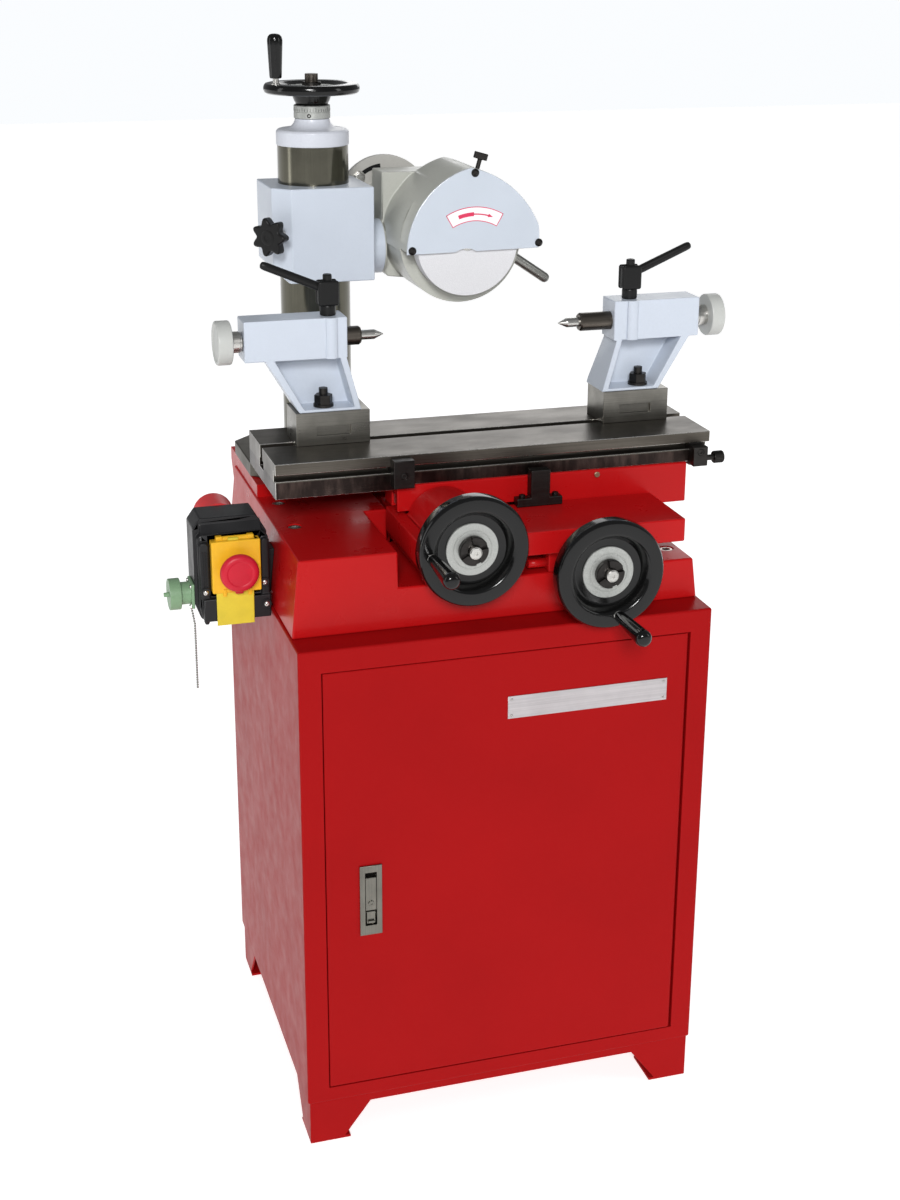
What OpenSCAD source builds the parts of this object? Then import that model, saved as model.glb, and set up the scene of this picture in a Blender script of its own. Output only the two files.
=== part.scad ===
// Universal tool and cutter grinder on a sheet-steel cabinet: compound table with two
// tailstocks, lifting and swinging column, tilting belt-driven wheelhead.
// Millimetres. The origin is on the floor under the middle of the cabinet,
// X to the right, Y to the back, Z up.

/* [Cabinet] */
// Width over the sheet sides
cabinet_w = 560; // [555:5:600]
// Depth from front to back
cabinet_d = 490; // [490:5:520]
// Height of the sheet body above the feet
cabinet_h = 660; // [600:5:720]
// Height of the feet
feet_h = 65; // [55:1:80]
// Sheet thickness of body, feet and door
sheet_t = 3; // [2.5:0.5:4]
// Distance between the floor bolts, left to right
anchor_x = 480; // [460:5:490]
// Distance between the floor bolts, front to back
anchor_y = 410; // [390:5:415]

/* [Base and saddle] */
// Height of the deck above the cabinet
deck_h = 55; // [45:1:70]
// Height of the Y ways above the deck
way_h = 34; // [32:1:40]
// Thickness of the saddle ledge
ledge_t = 32; // [30:1:36]

/* [Table] */
// Length of the work table
table_l = 607; // [600:1:660]
// Width of the work table
table_w = 177; // [165:1:178]
// Thickness of the work table
table_t = 47; // [44:1:54]

/* [Tailstocks] */
// Height of the centres above the table
centre_h = 142; // [130:1:160]
// Diameter of the centre sleeves
sleeve_d = 25; // [20:1:28]

/* [Column and wheelhead] */
// Diameter of the column
column_d = 98; // [92:1:102]
// Height of the column tube above the foot
column_l = 431; // [425:1:500]
// Height of the spindle above the table
spindle_h = 248; // [240:1:252]
// Diameter of the grinding wheel
wheel_d = 142; // [120:1:144]
// Width of the grinding wheel
wheel_w = 25; // [16:1:26]

/* [Handwheels] */
// Outer diameter of the two front handwheels
front_wheel_d = 145; // [125:1:150]
// Outer diameter of the lifting handwheel
top_wheel_d = 131; // [125:1:150]

/* [Hidden] */
$fn = 64;
nodes_gap = 0.3;
run = 0.05;

red = [0.78, 0.06, 0.06];
grey = [0.72, 0.77, 0.81];
cast = [0.66, 0.68, 0.64];
steel = [0.62, 0.62, 0.6];
dark = [0.25, 0.25, 0.24];
black = [0.06, 0.06, 0.06];
white = [0.95, 0.95, 0.93];
brass = [0.72, 0.56, 0.3];
yellow = [0.95, 0.75, 0.08];
green = [0.35, 0.6, 0.4];

// Cabinet
cw = cabinet_w / 2;
cd = cabinet_d / 2;
base_z = feet_h + cabinet_h;
door_side = 31;
door_low = 23;
door_high = 32;
door_gap = 1.5;
door_fold = 20;
door_round = 6;
hinge_r = 2.5;
door_x = cw - door_side;
door_z0 = feet_h + door_low;
door_z1 = base_z - door_high;
foot_in = 3;
foot_w = 45;
foot_slope = 40;
foot_arch = 12;
flange_w = 56;
flange_t = 4;
anchor_r = 7;

// Base casting
deck_z = base_z + deck_h;
way_z = deck_z + way_h;
cheek_z = way_z + 13;
base_w = 277;
base_front = -200;
base_back = 245;
base_wall = 14;
cheek_x = -137;
cheek_back_x = -105;
draft = 11;
pad_z = cheek_z + 18;
pad_y = 82;
pad_over = 40;
dove_l = -75;
dove_r = 85;
dove_cut = 8;
rail_l = 165;
rail_r = 235;
way_front = -148;
way_back = 80;
bolt_r = 6;
bolt_head_r = 9;
bolt_head_h = 12;
bolt_z = deck_z - 40;
base_bolts_xy = [[-241, -57, cheek_z], [-241, 50, cheek_z], [252, -150, deck_z], [252, 200, deck_z]];

// Cross feed
cross_x = 120;
cross_z = way_z - 14;
cross_r = 8;
bracket_y0 = -196;
bracket_y1 = -172;
cross_rim_y = -258;
cross_end = 60;

// Saddle
saddle_z = way_z + nodes_gap;
ledge_z = way_z + ledge_t;
plate_z = way_z + 12;
saddle_l = -100;
saddle_r = 246;
ledge_front = -222;
ledge_back = -102;
saddle_back = 40;
xway_z = plate_z + 40;
xway_lo = [-34, 9];
xway_hi = [-44, 19];
pinion_x = -53;
pinion_z = ledge_z - 8;
boss_x = -51;
boss_r = 49;
boss_z = pinion_z - 7;
boss_front = -215;
table_rim_y = -230;

// Rack and pinion
gear_m = 1.5;
teeth = 20;
pitch_r = gear_m * teeth / 2;
rack_pitch = gear_m * 180 * PI / 180;
rack_z = pinion_z + pitch_r;
gear_y0 = -91;
gear_y1 = -73;

// Table slide and table
slide_z = ledge_z + 3;
slide_l = -112;
slide_r = 300;
slide_front = -100;
slide_back = 55;
slide_top = slide_z + 35;
cap_w = 25;
skirt_l = 115;
table_x = -273;
table_r = table_x + table_l;
table_front = -97;
table_back = table_front + table_w;
table_z = slide_top - 6;
top_z = table_z + table_t;
slot_y = -4;
slot_w = 16;
slot_t = 28;
groove_z = top_z - 23;
groove_h = 8;

// Tailstocks
axis_z = top_z + centre_h;
tail_y0 = -22;
tail_y1 = 24;
foot_y1 = 40;
seat_z = top_z + 49;
block_h = 54;
block_z = axis_z - 25;
key_z = top_z + 45;
sleeve_r = sleeve_d / 2;
left_nut = -193;
right_nut = 257;
left_stud = 6;
right_stud = -6;

// Column
col_x = -153;
col_y = 185;
col_r = column_d / 2;
foot_z0 = pad_z;
foot_z1 = pad_z + 20;
col_z0 = cheek_z + 3;
col_z1 = foot_z1 + column_l;
cap_h = 21;
lift_r = 9;
lift_wheel_z = col_z1 + 68;
collar_h = 18;
lift_hub = lift_wheel_z - col_z1 - cap_h - 14 - collar_h - nodes_gap;

// Wheelhead
spin_x = 28;
spin_z = top_z + spindle_h;
head_z0 = spin_z - 57;
head_z1 = spin_z + 71;
head_l = -222;
head_r = -84;
head_y0 = 115;
head_y1 = 241;
tilt_y = 185;
tilt_z = spin_z - 21;
tilt_r = 38;
motor_x = -35;
motor_z = spin_z + 30;
plate_y = 40;
wheel_r = wheel_d / 2;
wheel_y = 45;
lip_r = 86;
drum_y1 = 172;
gear_l = -59;
case_y0 = 224;
case_y1 = 248;
motor_y1 = 294;
pulley_r = 16;

// Switch
sw_x0 = -378;
sw_x1 = -281;
sw_y0 = -80;
sw_y1 = -18;
sw_z0 = base_z - 9;
sw_z1 = base_z + 128;
cover_x0 = -358;
cover_x1 = -294;
cover_z0 = sw_z0 + 40.5;
cover_z1 = sw_z1 - 25;
cover_y = sw_y0 - 14;
knob_x = -325;
knob_z = cover_z0 + 31.5;
inlet_x = -335;
inlet_z = sw_z1 - 25;

// Helpers: a box by its limits, prisms along X and Y, and cylinders along each axis
module box(x0, x1, y0, y1, z0, z1) {
  translate([x0, y0, z0]) cube([x1 - x0, y1 - y0, z1 - z0]);
}
module prism_x(x0, x1, pts) {
  translate([x0, 0, 0]) rotate([90, 0, 90]) linear_extrude(x1 - x0) polygon(pts);
}
module prism_y(y0, y1, pts) {
  translate([0, y1, 0]) rotate([90, 0, 0]) linear_extrude(y1 - y0) polygon(pts);
}
module cyl_x(y, z, r, x0, x1) {
  translate([x0, y, z]) rotate([0, 90, 0]) cylinder(r = r, h = x1 - x0);
}
module cyl_y(x, z, r, y0, y1) {
  translate([x, y1, z]) rotate([90, 0, 0]) cylinder(r = r, h = y1 - y0);
}
module cyl_z(x, y, r, z0, z1) {
  translate([x, y, z0]) cylinder(r = r, h = z1 - z0);
}
module hex_z(x, y, r, z0, z1) {
  translate([x, y, z0]) cylinder(r = r, h = z1 - z0, $fn = 6);
}

// Cabinet
module cabinet_shell() {
  t = sheet_t;
  color(red)
  difference() {
    box(-cw, cw, -cd, cd, feet_h, base_z);
    box(-cw + t, cw - t, -cd + 12, cd - t, feet_h + t, base_z - t);
    box(-door_x - door_gap, door_x + door_gap, -cd - 1, -cd + 13,
      door_z0 - door_gap, door_z1 + door_gap);
    difference() {
      box(-cw + t, cw - t, -cd + t, -cd + 13, feet_h + t, base_z - t);
      box(-door_x - door_gap - t, door_x + door_gap + t, -cd, -cd + 14,
        door_z0 - door_gap - t, door_z1 + door_gap + t);
    }
    for (b = base_bolts_xy) cyl_z(b[0], b[1], bolt_r + 0.5, base_z - t - 1, base_z + 1);
  }
  color(steel)
  for (z = [door_z0 - door_gap - 1, door_z1 - sheet_t])
    cyl_z(door_x - door_round, -cd + door_round, hinge_r, z, z + sheet_t + door_gap + 1);
}

module foot_cut(w) {
  in = w - foot_w;
  polygon([[-in, -1], [in, -1], [in, 0], [in - foot_slope, feet_h - foot_arch],
    [-in + foot_slope, feet_h - foot_arch], [-in, 0]]);
}
module cabinet_feet() {
  w = cw - foot_in;
  d = cd - foot_in;
  color(red)
  difference() {
    union() {
      difference() {
        box(-w, w, -d, d, 0, feet_h);
        box(-w + sheet_t, w - sheet_t, -d + sheet_t, d - sheet_t, -1, feet_h + 1);
        translate([0, d + 1, 0]) rotate([90, 0, 0]) linear_extrude(2 * d + 2) foot_cut(w);
        translate([-w - 1, 0, 0]) rotate([90, 0, 90]) linear_extrude(2 * w + 2) foot_cut(d);
      }
      for (sx = [-1, 1]) for (sy = [-1, 1]) {
        translate([sx * (w - flange_w / 2), sy * (d - flange_w / 2), flange_t / 2])
          cube([flange_w, flange_w, flange_t], center = true);
      }
    }
    for (sx = [-1, 1]) for (sy = [-1, 1]) {
      cyl_z(sx * anchor_x / 2, sy * anchor_y / 2, anchor_r, -1, flange_t + 1);
    }
  }
}

module cabinet_door() {
  t = sheet_t;
  hx = door_x - door_round;
  hy = -cd + door_round;
  color(red)
  difference() {
    union() {
      box(-door_x, hx, -cd, -cd + door_fold, door_z0, door_z1);
      box(hx, door_x, hy, -cd + door_fold, door_z0, door_z1);
      cyl_z(hx, hy, door_round, door_z0, door_z1);
    }
    box(-door_x + t, hx, -cd + t, -cd + door_fold + 1, door_z0 + t, door_z1 - t);
    box(hx - 1, door_x - t, hy, -cd + door_fold + 1, door_z0 + t, door_z1 - t);
    cyl_z(hx, hy, door_round - t, door_z0 + t, door_z1 - t);
    cyl_z(hx, hy, hinge_r + run, door_z0 - 1, door_z1 + 1);
    box(latch_x0 + 5, latch_x1 - 5, -cd - 1, -cd + t + 1, latch_z0 + 12, latch_z1 - 8);
  }
}

latch_x0 = -205;
latch_x1 = -175;
latch_z0 = feet_h + 250;
latch_z1 = feet_h + 352;
module latch_plate() {
  color(steel)
  difference() {
    union() {
      box(latch_x0, latch_x1, -cd - 3, -cd, latch_z0, latch_z1);
      box(latch_x0 + 5.2, latch_x1 - 5.2, -cd, -cd + 16, latch_z0 + 12.2, latch_z1 - 8.2);
    }
    box(latch_x0 + 7.2, latch_x1 - 7.2, -cd - 4, -cd + 14, latch_z0 + 14.2, latch_z1 - 10.2);
    cyl_x(-cd + 3, latch_z1 - 17, 1.5 + run, latch_x0, latch_x1);
  }
}
module latch_paddle() {
  x0 = latch_x0 + 7.5;
  x1 = latch_x1 - 7.5;
  z0 = latch_z0 + 36;
  z1 = latch_z1 - 17;
  color(steel)
  difference() {
    union() {
      box(x0, x1, -cd - 2.5, -cd + 1, z0, z1);
      cyl_x(-cd + 3, z1, 3, x0, x1);
      cyl_x(-cd + 3, z1, 1.5, x0 - 2, x1 + 2);
      box(x0, x1, -cd - 1, -cd + 3, z1 - 6, z1);
    }
    cyl_y((x0 + x1) / 2, z0 + 11, 3.5, -cd - 3, -cd - 1.5);
  }
}

module nameplate() {
  color(steel) box(-4, 219, -cd - 1, -cd, base_z - 123.5, base_z - 92);
}

// Base casting
module base_profile(o) {
  polygon([[-base_w + o, base_z - o], [base_w - o, base_z - o], [base_w - 6 - o, deck_z - o],
    [cheek_x - o, deck_z - o], [cheek_x - o, cheek_z - o],
    [-base_w + draft + o, cheek_z - o]]);
}
module base_casting() {
  color(red)
  difference() {
    union() {
      intersection() {
        translate([0, base_back, 0]) rotate([90, 0, 0])
          linear_extrude(base_back - base_front) base_profile(0);
        prism_x(-base_w, base_w, [[base_front, base_z], [base_back, base_z],
          [base_back, cheek_z], [base_front + draft / 2, cheek_z]]);
      }
      box(cheek_x - 1, cheek_back_x, -20, base_back, deck_z - 1, cheek_z);
      prism_x(col_x - 111, col_x + 113, [[pad_y, deck_z - 1], [pad_y, pad_z],
        [base_back + pad_over, pad_z], [base_back + pad_over, pad_z - 18],
        [base_back, deck_z - 20], [base_back - 1, deck_z - 20]]);
      prism_y(way_front, way_back, [[dove_l + dove_cut, deck_z - 1], [dove_r - dove_cut, deck_z - 1],
        [dove_r - dove_cut, deck_z], [dove_r, way_z], [dove_l, way_z],
        [dove_l + dove_cut, deck_z]]);
      box(rail_l, rail_r, way_front, way_back, deck_z - 1, way_z);
    }
    difference() {
      intersection() {
        translate([0, base_back - base_wall, 0]) rotate([90, 0, 0])
          linear_extrude(base_back - base_front - 2 * base_wall)
            polygon([[-base_w + base_wall, base_z - 1], [base_w - base_wall, base_z - 1],
              [base_w - base_wall - 6, deck_z - base_wall],
              [cheek_x - base_wall, deck_z - base_wall],
              [cheek_x - base_wall, cheek_z - base_wall],
              [-base_w + draft + base_wall, cheek_z - base_wall]]);
        prism_x(-base_w, base_w, [[base_front + base_wall, base_z - 1],
          [base_back - base_wall, base_z - 1], [base_back - base_wall, cheek_z],
          [base_front + base_wall + 6, cheek_z]]);
      }
      for (b = base_bolts_xy) cyl_z(b[0], b[1], 17, base_z, cheek_z);
      cyl_z(col_x, col_y, col_r + 22, base_z, cheek_z);
    }
    for (b = base_bolts_xy) {
      cyl_z(b[0], b[1], bolt_r + 0.5, base_z - 1, b[2] + 1);
      cyl_z(b[0], b[1], bolt_head_r + 1.5, b[2] - bolt_head_h - 1, b[2] + 1);
    }
    cyl_z(col_x, col_y, col_r + 1, col_z0 - 1, pad_z + 1);
    for (p = foot_bolts_xy) cyl_z(p[0], p[1], 5, pad_z - 14, pad_z + 1);
  }
}

module base_bolts() {
  color(dark)
  for (b = base_bolts_xy) {
    difference() {
      cyl_z(b[0], b[1], bolt_head_r, b[2] - bolt_head_h - 1, b[2] - 1);
      hex_z(b[0], b[1], 5.5, b[2] - 8, b[2]);
    }
    cyl_z(b[0], b[1], bolt_r, base_z - sheet_t - 14, b[2] - bolt_head_h - 1);
    hex_z(b[0], b[1], 10.5, base_z - sheet_t - 10, base_z - sheet_t);
  }
}

// Cross feed
module cross_bracket() {
  color(red) {
    difference() {
      box(66, 174, bracket_y0, bracket_y1, deck_z, way_z - 2);
      cyl_y(cross_x, cross_z, cross_r + run, bracket_y0 - 1, bracket_y1 + 1);
    }
    cyl_x(-186, cross_z - 9, 6, 40, 66);
  }
}
module cross_screw() {
  color(steel) {
    cyl_y(cross_x, cross_z, cross_r, cross_rim_y - 27, cross_end);
    cyl_y(cross_x, cross_z, 13, -216, bracket_y0 - nodes_gap);
    cyl_y(cross_x, cross_z, 12, bracket_y1 + nodes_gap, bracket_y1 + 8);
  }
}
module cross_nut() {
  color(brass)
  difference() {
    box(cross_x - 12, cross_x + 12, 5, 35, cross_z - 12, saddle_z);
    cyl_y(cross_x, cross_z, cross_r + run, 4, 36);
  }
}

// A handwheel seen from its own axis: dished body, slotted nut and crank pin
module handwheel(d, tube, t, shaft, ang, pin_r, pin_l, hub_l) {
  r = d / 2;
  rotate_extrude()
    polygon([[shaft, -hub_l], [22, -hub_l], [23, 4 - hub_l], [34, tube - 6], [r - 14, tube - 5],
      [r - 11, 1], [r - 8, 0], [r - 3, 1], [r, 5], [r, t - 5], [r - 3, t - 1], [r - 5, t],
      [r - 17, t], [r - 21, t - 1.5], [r - 28, tube + 1], [34.5, tube], [34.5, tube + 3],
      [shaft, tube + 3]]);
  rotate([0, 0, ang]) translate([pin_r, 0, tube]) cylinder(r = 4, h = pin_l);
  difference() {
    translate([0, 0, tube + 2.5]) cylinder(r = 13, h = 9.5);
    translate([0, 0, tube + 2]) cylinder(r = shaft, h = 11);
    for (a = [0, 90]) rotate([0, 0, a]) translate([-14, -2, tube + 8]) cube([28, 4, 5]);
  }
}
module grip(rim, z, ang, l, r0, r1) {
  rotate([0, 0, ang]) translate([rim, 0, z])
  rotate_extrude() polygon([[4 + run, 0], [r0, 0], [r0 + 1, 4], [r1, l * 0.75],
    [r1 - 1, l - 3], [r1 - 4, l], [0, l], [0, l - 6], [4 + run, l - 6]]);
}
front_rim_t = 24;
front_pin_r = front_wheel_d / 2 - 16.5;
cross_pin = 281;
table_pin = 183;
module front_wheel(x, y, z, ang) {
  color(black) translate([x, y, z]) rotate([90, 0, 0])
    handwheel(front_wheel_d, 8.5, front_rim_t, cross_r, ang, front_pin_r, 96, 3.5);
}
module front_grip(x, y, z, ang) {
  color(black) translate([x, y, z]) rotate([90, 0, 0])
    grip(front_pin_r, front_rim_t + 3, ang, 86, 8, 11);
}
module cross_handwheel() {
  front_wheel(cross_x, cross_rim_y, cross_z, cross_pin);
}
module cross_grip() {
  front_grip(cross_x, cross_rim_y, cross_z, cross_pin);
}

// Saddle
module saddle() {
  color(red)
  difference() {
    union() {
      box(saddle_l, saddle_r, ledge_front, ledge_back, saddle_z, ledge_z);
      box(saddle_l, saddle_r, ledge_back - 1, saddle_back, saddle_z, plate_z);
      prism_x(saddle_l, saddle_r, [[xway_lo[0], plate_z - 1], [xway_lo[1], plate_z - 1],
        [xway_lo[1], slide_z], [xway_hi[1], xway_z], [xway_hi[0], xway_z],
        [xway_lo[0], slide_z]]);
      cyl_y(boss_x, boss_z, boss_r, boss_front, slide_front - 1.5);
      box(boss_x - boss_r, boss_x + boss_r, boss_front, slide_front - 1.5, saddle_z, boss_z);
      prism_y(ledge_front, saddle_back, [[saddle_l, saddle_z + 1], [saddle_l, deck_z + 4],
        [dove_l + dove_cut - 7, deck_z + 4], [dove_l - 6.5, saddle_z + 1]]);
      prism_y(-140, saddle_back, [[dove_r + 18, saddle_z + 1], [dove_r + 18, deck_z + 4],
        [dove_r - 5, deck_z + 4], [dove_r + 1.5, saddle_z + 1]]);
      box(saddle_l - 18, saddle_l, -215, -62, deck_z + 32, ledge_z);
    }
    cyl_y(boss_x, boss_z, boss_r - 12, boss_front - 1, boss_front + 3);
    cyl_y(pinion_x, pinion_z, cross_r + run, boss_front, ledge_back + 2);
    cyl_y(pinion_x, pinion_z, gear_m * 1.2 + pitch_r + 1, ledge_back + 1, gear_y1 + 3);
    cyl_y(pinion_x, pinion_z, cross_r + run, boss_front - 1, gear_y0);
    box(saddle_l - 1, saddle_r + 1, ledge_back, ledge_back + 1, ledge_z - 0.01, ledge_z + 60);
    prism_y(ledge_front - 1, saddle_back + 1, gib_outline);
    cyl_y(pinion_x, pinion_z, 12.5, ledge_front - 1, boss_front + 3);
    prism_y(-171, way_back + 1, [[dove_l + dove_cut - 0.3, deck_z - 1],
      [dove_r - dove_cut + 0.3, deck_z - 1], [dove_r - dove_cut + 0.3, deck_z],
      [dove_r + 0.4, saddle_z], [dove_l - 0.4, saddle_z], [dove_l + dove_cut - 0.4, deck_z]]);
    box(cross_x - 12.5, cross_x + 12.5, ledge_front - 1, saddle_back + 1,
      deck_z, saddle_z);
  }
}
gib_outline = [[dove_l - 6.5, saddle_z], [dove_l + dove_cut - 7, deck_z + 4],
  [dove_l + dove_cut - 1.2, deck_z + 4], [dove_l - 0.4, saddle_z]];
module saddle_gib() {
  color(brass) prism_y(ledge_front, saddle_back, gib_outline);
}
module pinion_shaft() {
  r_tip = pitch_r + 1.3;
  r_root = pitch_r - 1.8;
  half = [5.6, 1.9, -1.9, -5.6];
  rad = [r_root, r_tip, r_tip, r_root];
  color(steel)
  translate([pinion_x, 0, pinion_z]) {
    translate([0, gear_y1, 0]) rotate([90, 0, 0]) linear_extrude(gear_y1 - gear_y0)
      polygon([for (i = [0 : teeth - 1]) for (k = [0 : 3])
        let (a = 90 + i * 360 / teeth - half[k])
        [rad[k] * cos(a), rad[k] * sin(a)]]);
    cyl_y(0, 0, cross_r, table_rim_y - 27, gear_y0);
    cyl_y(0, 0, 12, table_rim_y + 6, boss_front - 0.5 + 3);
  }
}
module table_handwheel() {
  front_wheel(pinion_x, table_rim_y, pinion_z, table_pin);
}
module table_grip() {
  front_grip(pinion_x, table_rim_y, pinion_z, table_pin);
}
module stop_dog() {
  color(black) {
    box(48, 112, -120, -104, ledge_z, ledge_z + 12);
    box(67, 94, -120, -104, ledge_z + 12, ledge_z + 50);
  }
}

// Table slide, rack and work table
module table_slide() {
  g = nodes_gap;
  color(red)
  difference() {
    union() {
      box(slide_l, slide_r, slide_front, slide_back, slide_z, slide_top);
      box(slide_r - cap_w, slide_r, slide_front, slide_back, plate_z + 2, slide_z);
      box(skirt_l, slide_r - cap_w + 1, slide_front, gear_y0 - 1.3, plate_z + 2, slide_z + 1);
    }
    prism_x(slide_l - 1, slide_r + 1, [[xway_lo[0] - g, plate_z + 1], [xway_lo[1] + g, plate_z + 1],
      [xway_lo[1] + g, slide_z], [xway_hi[1] + g, xway_z + g], [xway_hi[0] - g, xway_z + g],
      [xway_lo[0] - g, slide_z]]);
    box(slide_l - 1, slide_r - cap_w - 1, gear_y0 - 1, gear_y1 + 1, slide_z - 1, rack_z + 16);
  }
}
module rack() {
  tip = rack_z - 1.4;
  root = rack_z + 1.9;
  first = -12;
  last = 35;
  color(steel)
  prism_y(gear_y0, gear_y1, concat(
    [for (k = [first : last]) for (q = [0 : 3])
      let (xc = pinion_x + (k + 0.5) * rack_pitch)
      [xc + [-1.6, -0.55, 0.55, 1.6][q], [root, tip, tip, root][q]]],
    [[pinion_x + (last + 1) * rack_pitch, root], [pinion_x + (last + 1) * rack_pitch, rack_z + 16],
      [pinion_x + first * rack_pitch, rack_z + 16], [pinion_x + first * rack_pitch, root]]));
}
module work_table() {
  color(dark)
  difference() {
    box(table_x, table_r, table_front, table_back, table_z, top_z);
    box(slide_l - 1, slide_r + 5, slide_front - 1, slide_back + 1, table_z - 1, slide_top);
    box(table_r - 5, table_r + 1, table_front - 1, table_front + 30, table_z - 1, groove_z);
    box(table_x - 1, table_r + 1, slot_y - slot_w / 2, slot_y + slot_w / 2, top_z - 18, top_z + 1);
    box(table_x - 1, table_r + 1, slot_y - slot_t / 2, slot_y + slot_t / 2, top_z - 30, top_z - 18);
    box(table_x - 1, table_r + 1, table_front - 1, table_front + 7, groove_z, groove_z + groove_h);
    box(table_x - 1, table_r + 1, table_front + 6, table_front + 13,
      groove_z - 4, groove_z + groove_h + 4);
  }
}
module stop_block(x0, x1, z0, z1) {
  difference() {
    box(x0, x1, table_front - 18, table_front, z0, z1);
    cyl_y((x0 + x1) / 2, groove_z - 1, 5, table_front - 19, table_front - 12);
  }
  box(x0, x1, table_front, table_front + 6, groove_z, groove_z + groove_h);
  box(x0, x1, table_front + 6, table_front + 13, groove_z - 3, groove_z + groove_h + 3);
}
stop_r = table_r - 31;
thumb_y = table_front - 9;
thumb_z = table_z + 12;
module table_stops() {
  color(black)
  difference() {
    union() {
      stop_block(-120, -92, top_z - 40.5, top_z - 3);
      stop_block(stop_r, stop_r + 21, top_z - 44, top_z - 17);
    }
    cyl_x(thumb_y, thumb_z, 4 + run, stop_r - 1, stop_r + 22);
  }
}
module stop_thumb_screw() {
  color(black) {
    cyl_x(thumb_y, thumb_z, 4, stop_r, stop_r + 34);
    cyl_x(thumb_y, thumb_z, 8, stop_r + 33, stop_r + 47);
  }
}

// Tailstocks. Each is drawn with its point towards +x, and its clamp nut at x = nut
module tail_body(back, front, hub, nut) {
  leg = [[-74, block_z + 1], [-30, key_z], [54, key_z], [34, block_z + 1]];
  difference() {
    union() {
      box(back, front, tail_y0, tail_y1, block_z, block_z + block_h);
      intersection() {
        prism_y(tail_y0, foot_y1, leg);
        prism_x(back, front + 40, [[tail_y0, key_z], [foot_y1, key_z], [foot_y1, key_z + 8],
          [tail_y1, block_z + 1], [tail_y0, block_z + 1]]);
      }
      cyl_z(hub, tail_y0 + 7, 11, block_z, block_z + block_h);
    }
    cyl_x(slot_y, axis_z, sleeve_r + run, back - 1, front + 1);
    cyl_z(hub, slot_y, 5 + run, axis_z, block_z + block_h + 1);
    prism_y(tail_y0 - 1, tail_y1 - 10, [[-23, seat_z], [44, seat_z], [26, block_z],
      [-61, block_z]]);
    cyl_z(nut, slot_y, 6.4, key_z - 1, seat_z + 1);
  }
}
module key_block(back, front, nut) {
  color(steel)
  difference() {
    union() {
      box(back, front, tail_y0, foot_y1, top_z + run, key_z);
      box(back, front, slot_y - 7.7, slot_y + 7.7, top_z - 12, top_z + 1);
    }
    cyl_z(nut, slot_y, 6.4, top_z - 13, key_z + 1);
    box((back + front) / 2 - 22, (back + front) / 2 + 24, tail_y0 - 1, tail_y0 + 4,
      top_z + 13, top_z + 25);
  }
  color(dark) {
    hex_z(nut, slot_y, 13, top_z - 29, top_z - 19);
    cyl_z(nut, slot_y, 5.9, top_z - 20, seat_z + 25);
    cyl_z(nut, slot_y, 13.5, seat_z, seat_z + 3.5);
    hex_z(nut, slot_y, 12.5, seat_z + 3.5, seat_z + 16);
  }
}
module tail_centre(back, front, tip) {
  color(steel)
  difference() {
    union() {
      cyl_x(slot_y, axis_z, sleeve_r, back, front);
      cyl_x(slot_y, axis_z, 6.5, front - 1, tip - 12);
      translate([tip - 12, slot_y, axis_z]) rotate([0, 90, 0])
        cylinder(r1 = 6.5, r2 = 0.4, h = 12);
    }
    cyl_x(slot_y, axis_z, 5 + run, back - 1, back + 80);
  }
}
module tail_knob(disc, neck, screw) {
  color(grey) {
    cyl_x(slot_y, axis_z, 29, disc, disc + 20);
    cyl_x(slot_y, axis_z, 14, disc + 20, neck);
  }
  color(steel) cyl_x(slot_y, axis_z, 5, neck - 1, screw);
}
module tail_lever(hub) {
  z = block_z + block_h + nodes_gap;
  color(black) {
    cyl_z(hub, slot_y, 5, axis_z + sleeve_r + nodes_gap, z + 1);
    cyl_z(hub, slot_y, 10.5, z, z + 14);
    box(hub - 15, hub + 13, slot_y - 10, slot_y + 10, z + 13, z + 46);
    cyl_z(hub, slot_y, 6, z + 45, z + 54);
    translate([hub, slot_y, z + 33]) rotate([0, -67, 0]) rotate_extrude()
      polygon([[0, 0], [5.8, 0], [5.5, 90], [4.3, 94], [0, 95]]);
  }
}
module left_side() {
  translate([left_nut, 0, 0]) children();
}
module right_side() {
  translate([right_nut, 0, 0]) mirror([1, 0, 0]) children();
}
module left_tailstock() {
  color(grey) left_side() tail_body(-101, 36, 15, left_stud);
}
module left_key_block() {
  left_side() key_block(-35, 65, left_stud);
}
module left_centre() {
  left_side() tail_centre(-94, 57, 89);
}
module left_knob() {
  left_side() tail_knob(-136, -102, -40);
}
module left_lever() {
  left_side() tail_lever(15);
}
module right_tailstock() {
  color(grey) right_side() tail_body(-87, 39, 12, right_stud);
}
module right_key_block() {
  right_side() key_block(-45, 51, right_stud);
}
module right_centre() {
  right_side() tail_centre(-66, 85, 115);
}
module right_knob() {
  right_side() tail_knob(-123, -88, -30);
}
module right_lever() {
  right_side() tail_lever(12);
}

// Column, lift and head block
foot_bolts_xy = [[col_x - 76, col_y - 72], [col_x + 76, col_y - 72],
  [col_x - 76, col_y + 72], [col_x + 76, col_y + 72]];
module column_foot() {
  color(dark) {
    difference() {
      translate([col_x, col_y, foot_z0]) linear_extrude(foot_z1 - foot_z0)
        polygon([[-112, -60], [-72, -100], [72, -100], [112, -60], [112, 60], [72, 100],
          [-72, 100], [-112, 60]]);
      cyl_z(col_x, col_y, col_r + run, foot_z0 - 1, foot_z1 + 1);
      for (p = foot_bolts_xy) cyl_z(p[0], p[1], 8.5, foot_z1 - 11, foot_z1 + 1);
    }
    for (p = foot_bolts_xy) {
      difference() {
        cyl_z(p[0], p[1], 8, foot_z1 - 11, foot_z1 - 1);
        hex_z(p[0], p[1], 4.6, foot_z1 - 6, foot_z1);
      }
      cyl_z(p[0], p[1], 5, foot_z0 - 13, foot_z1 - 10);
    }
  }
}
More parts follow.
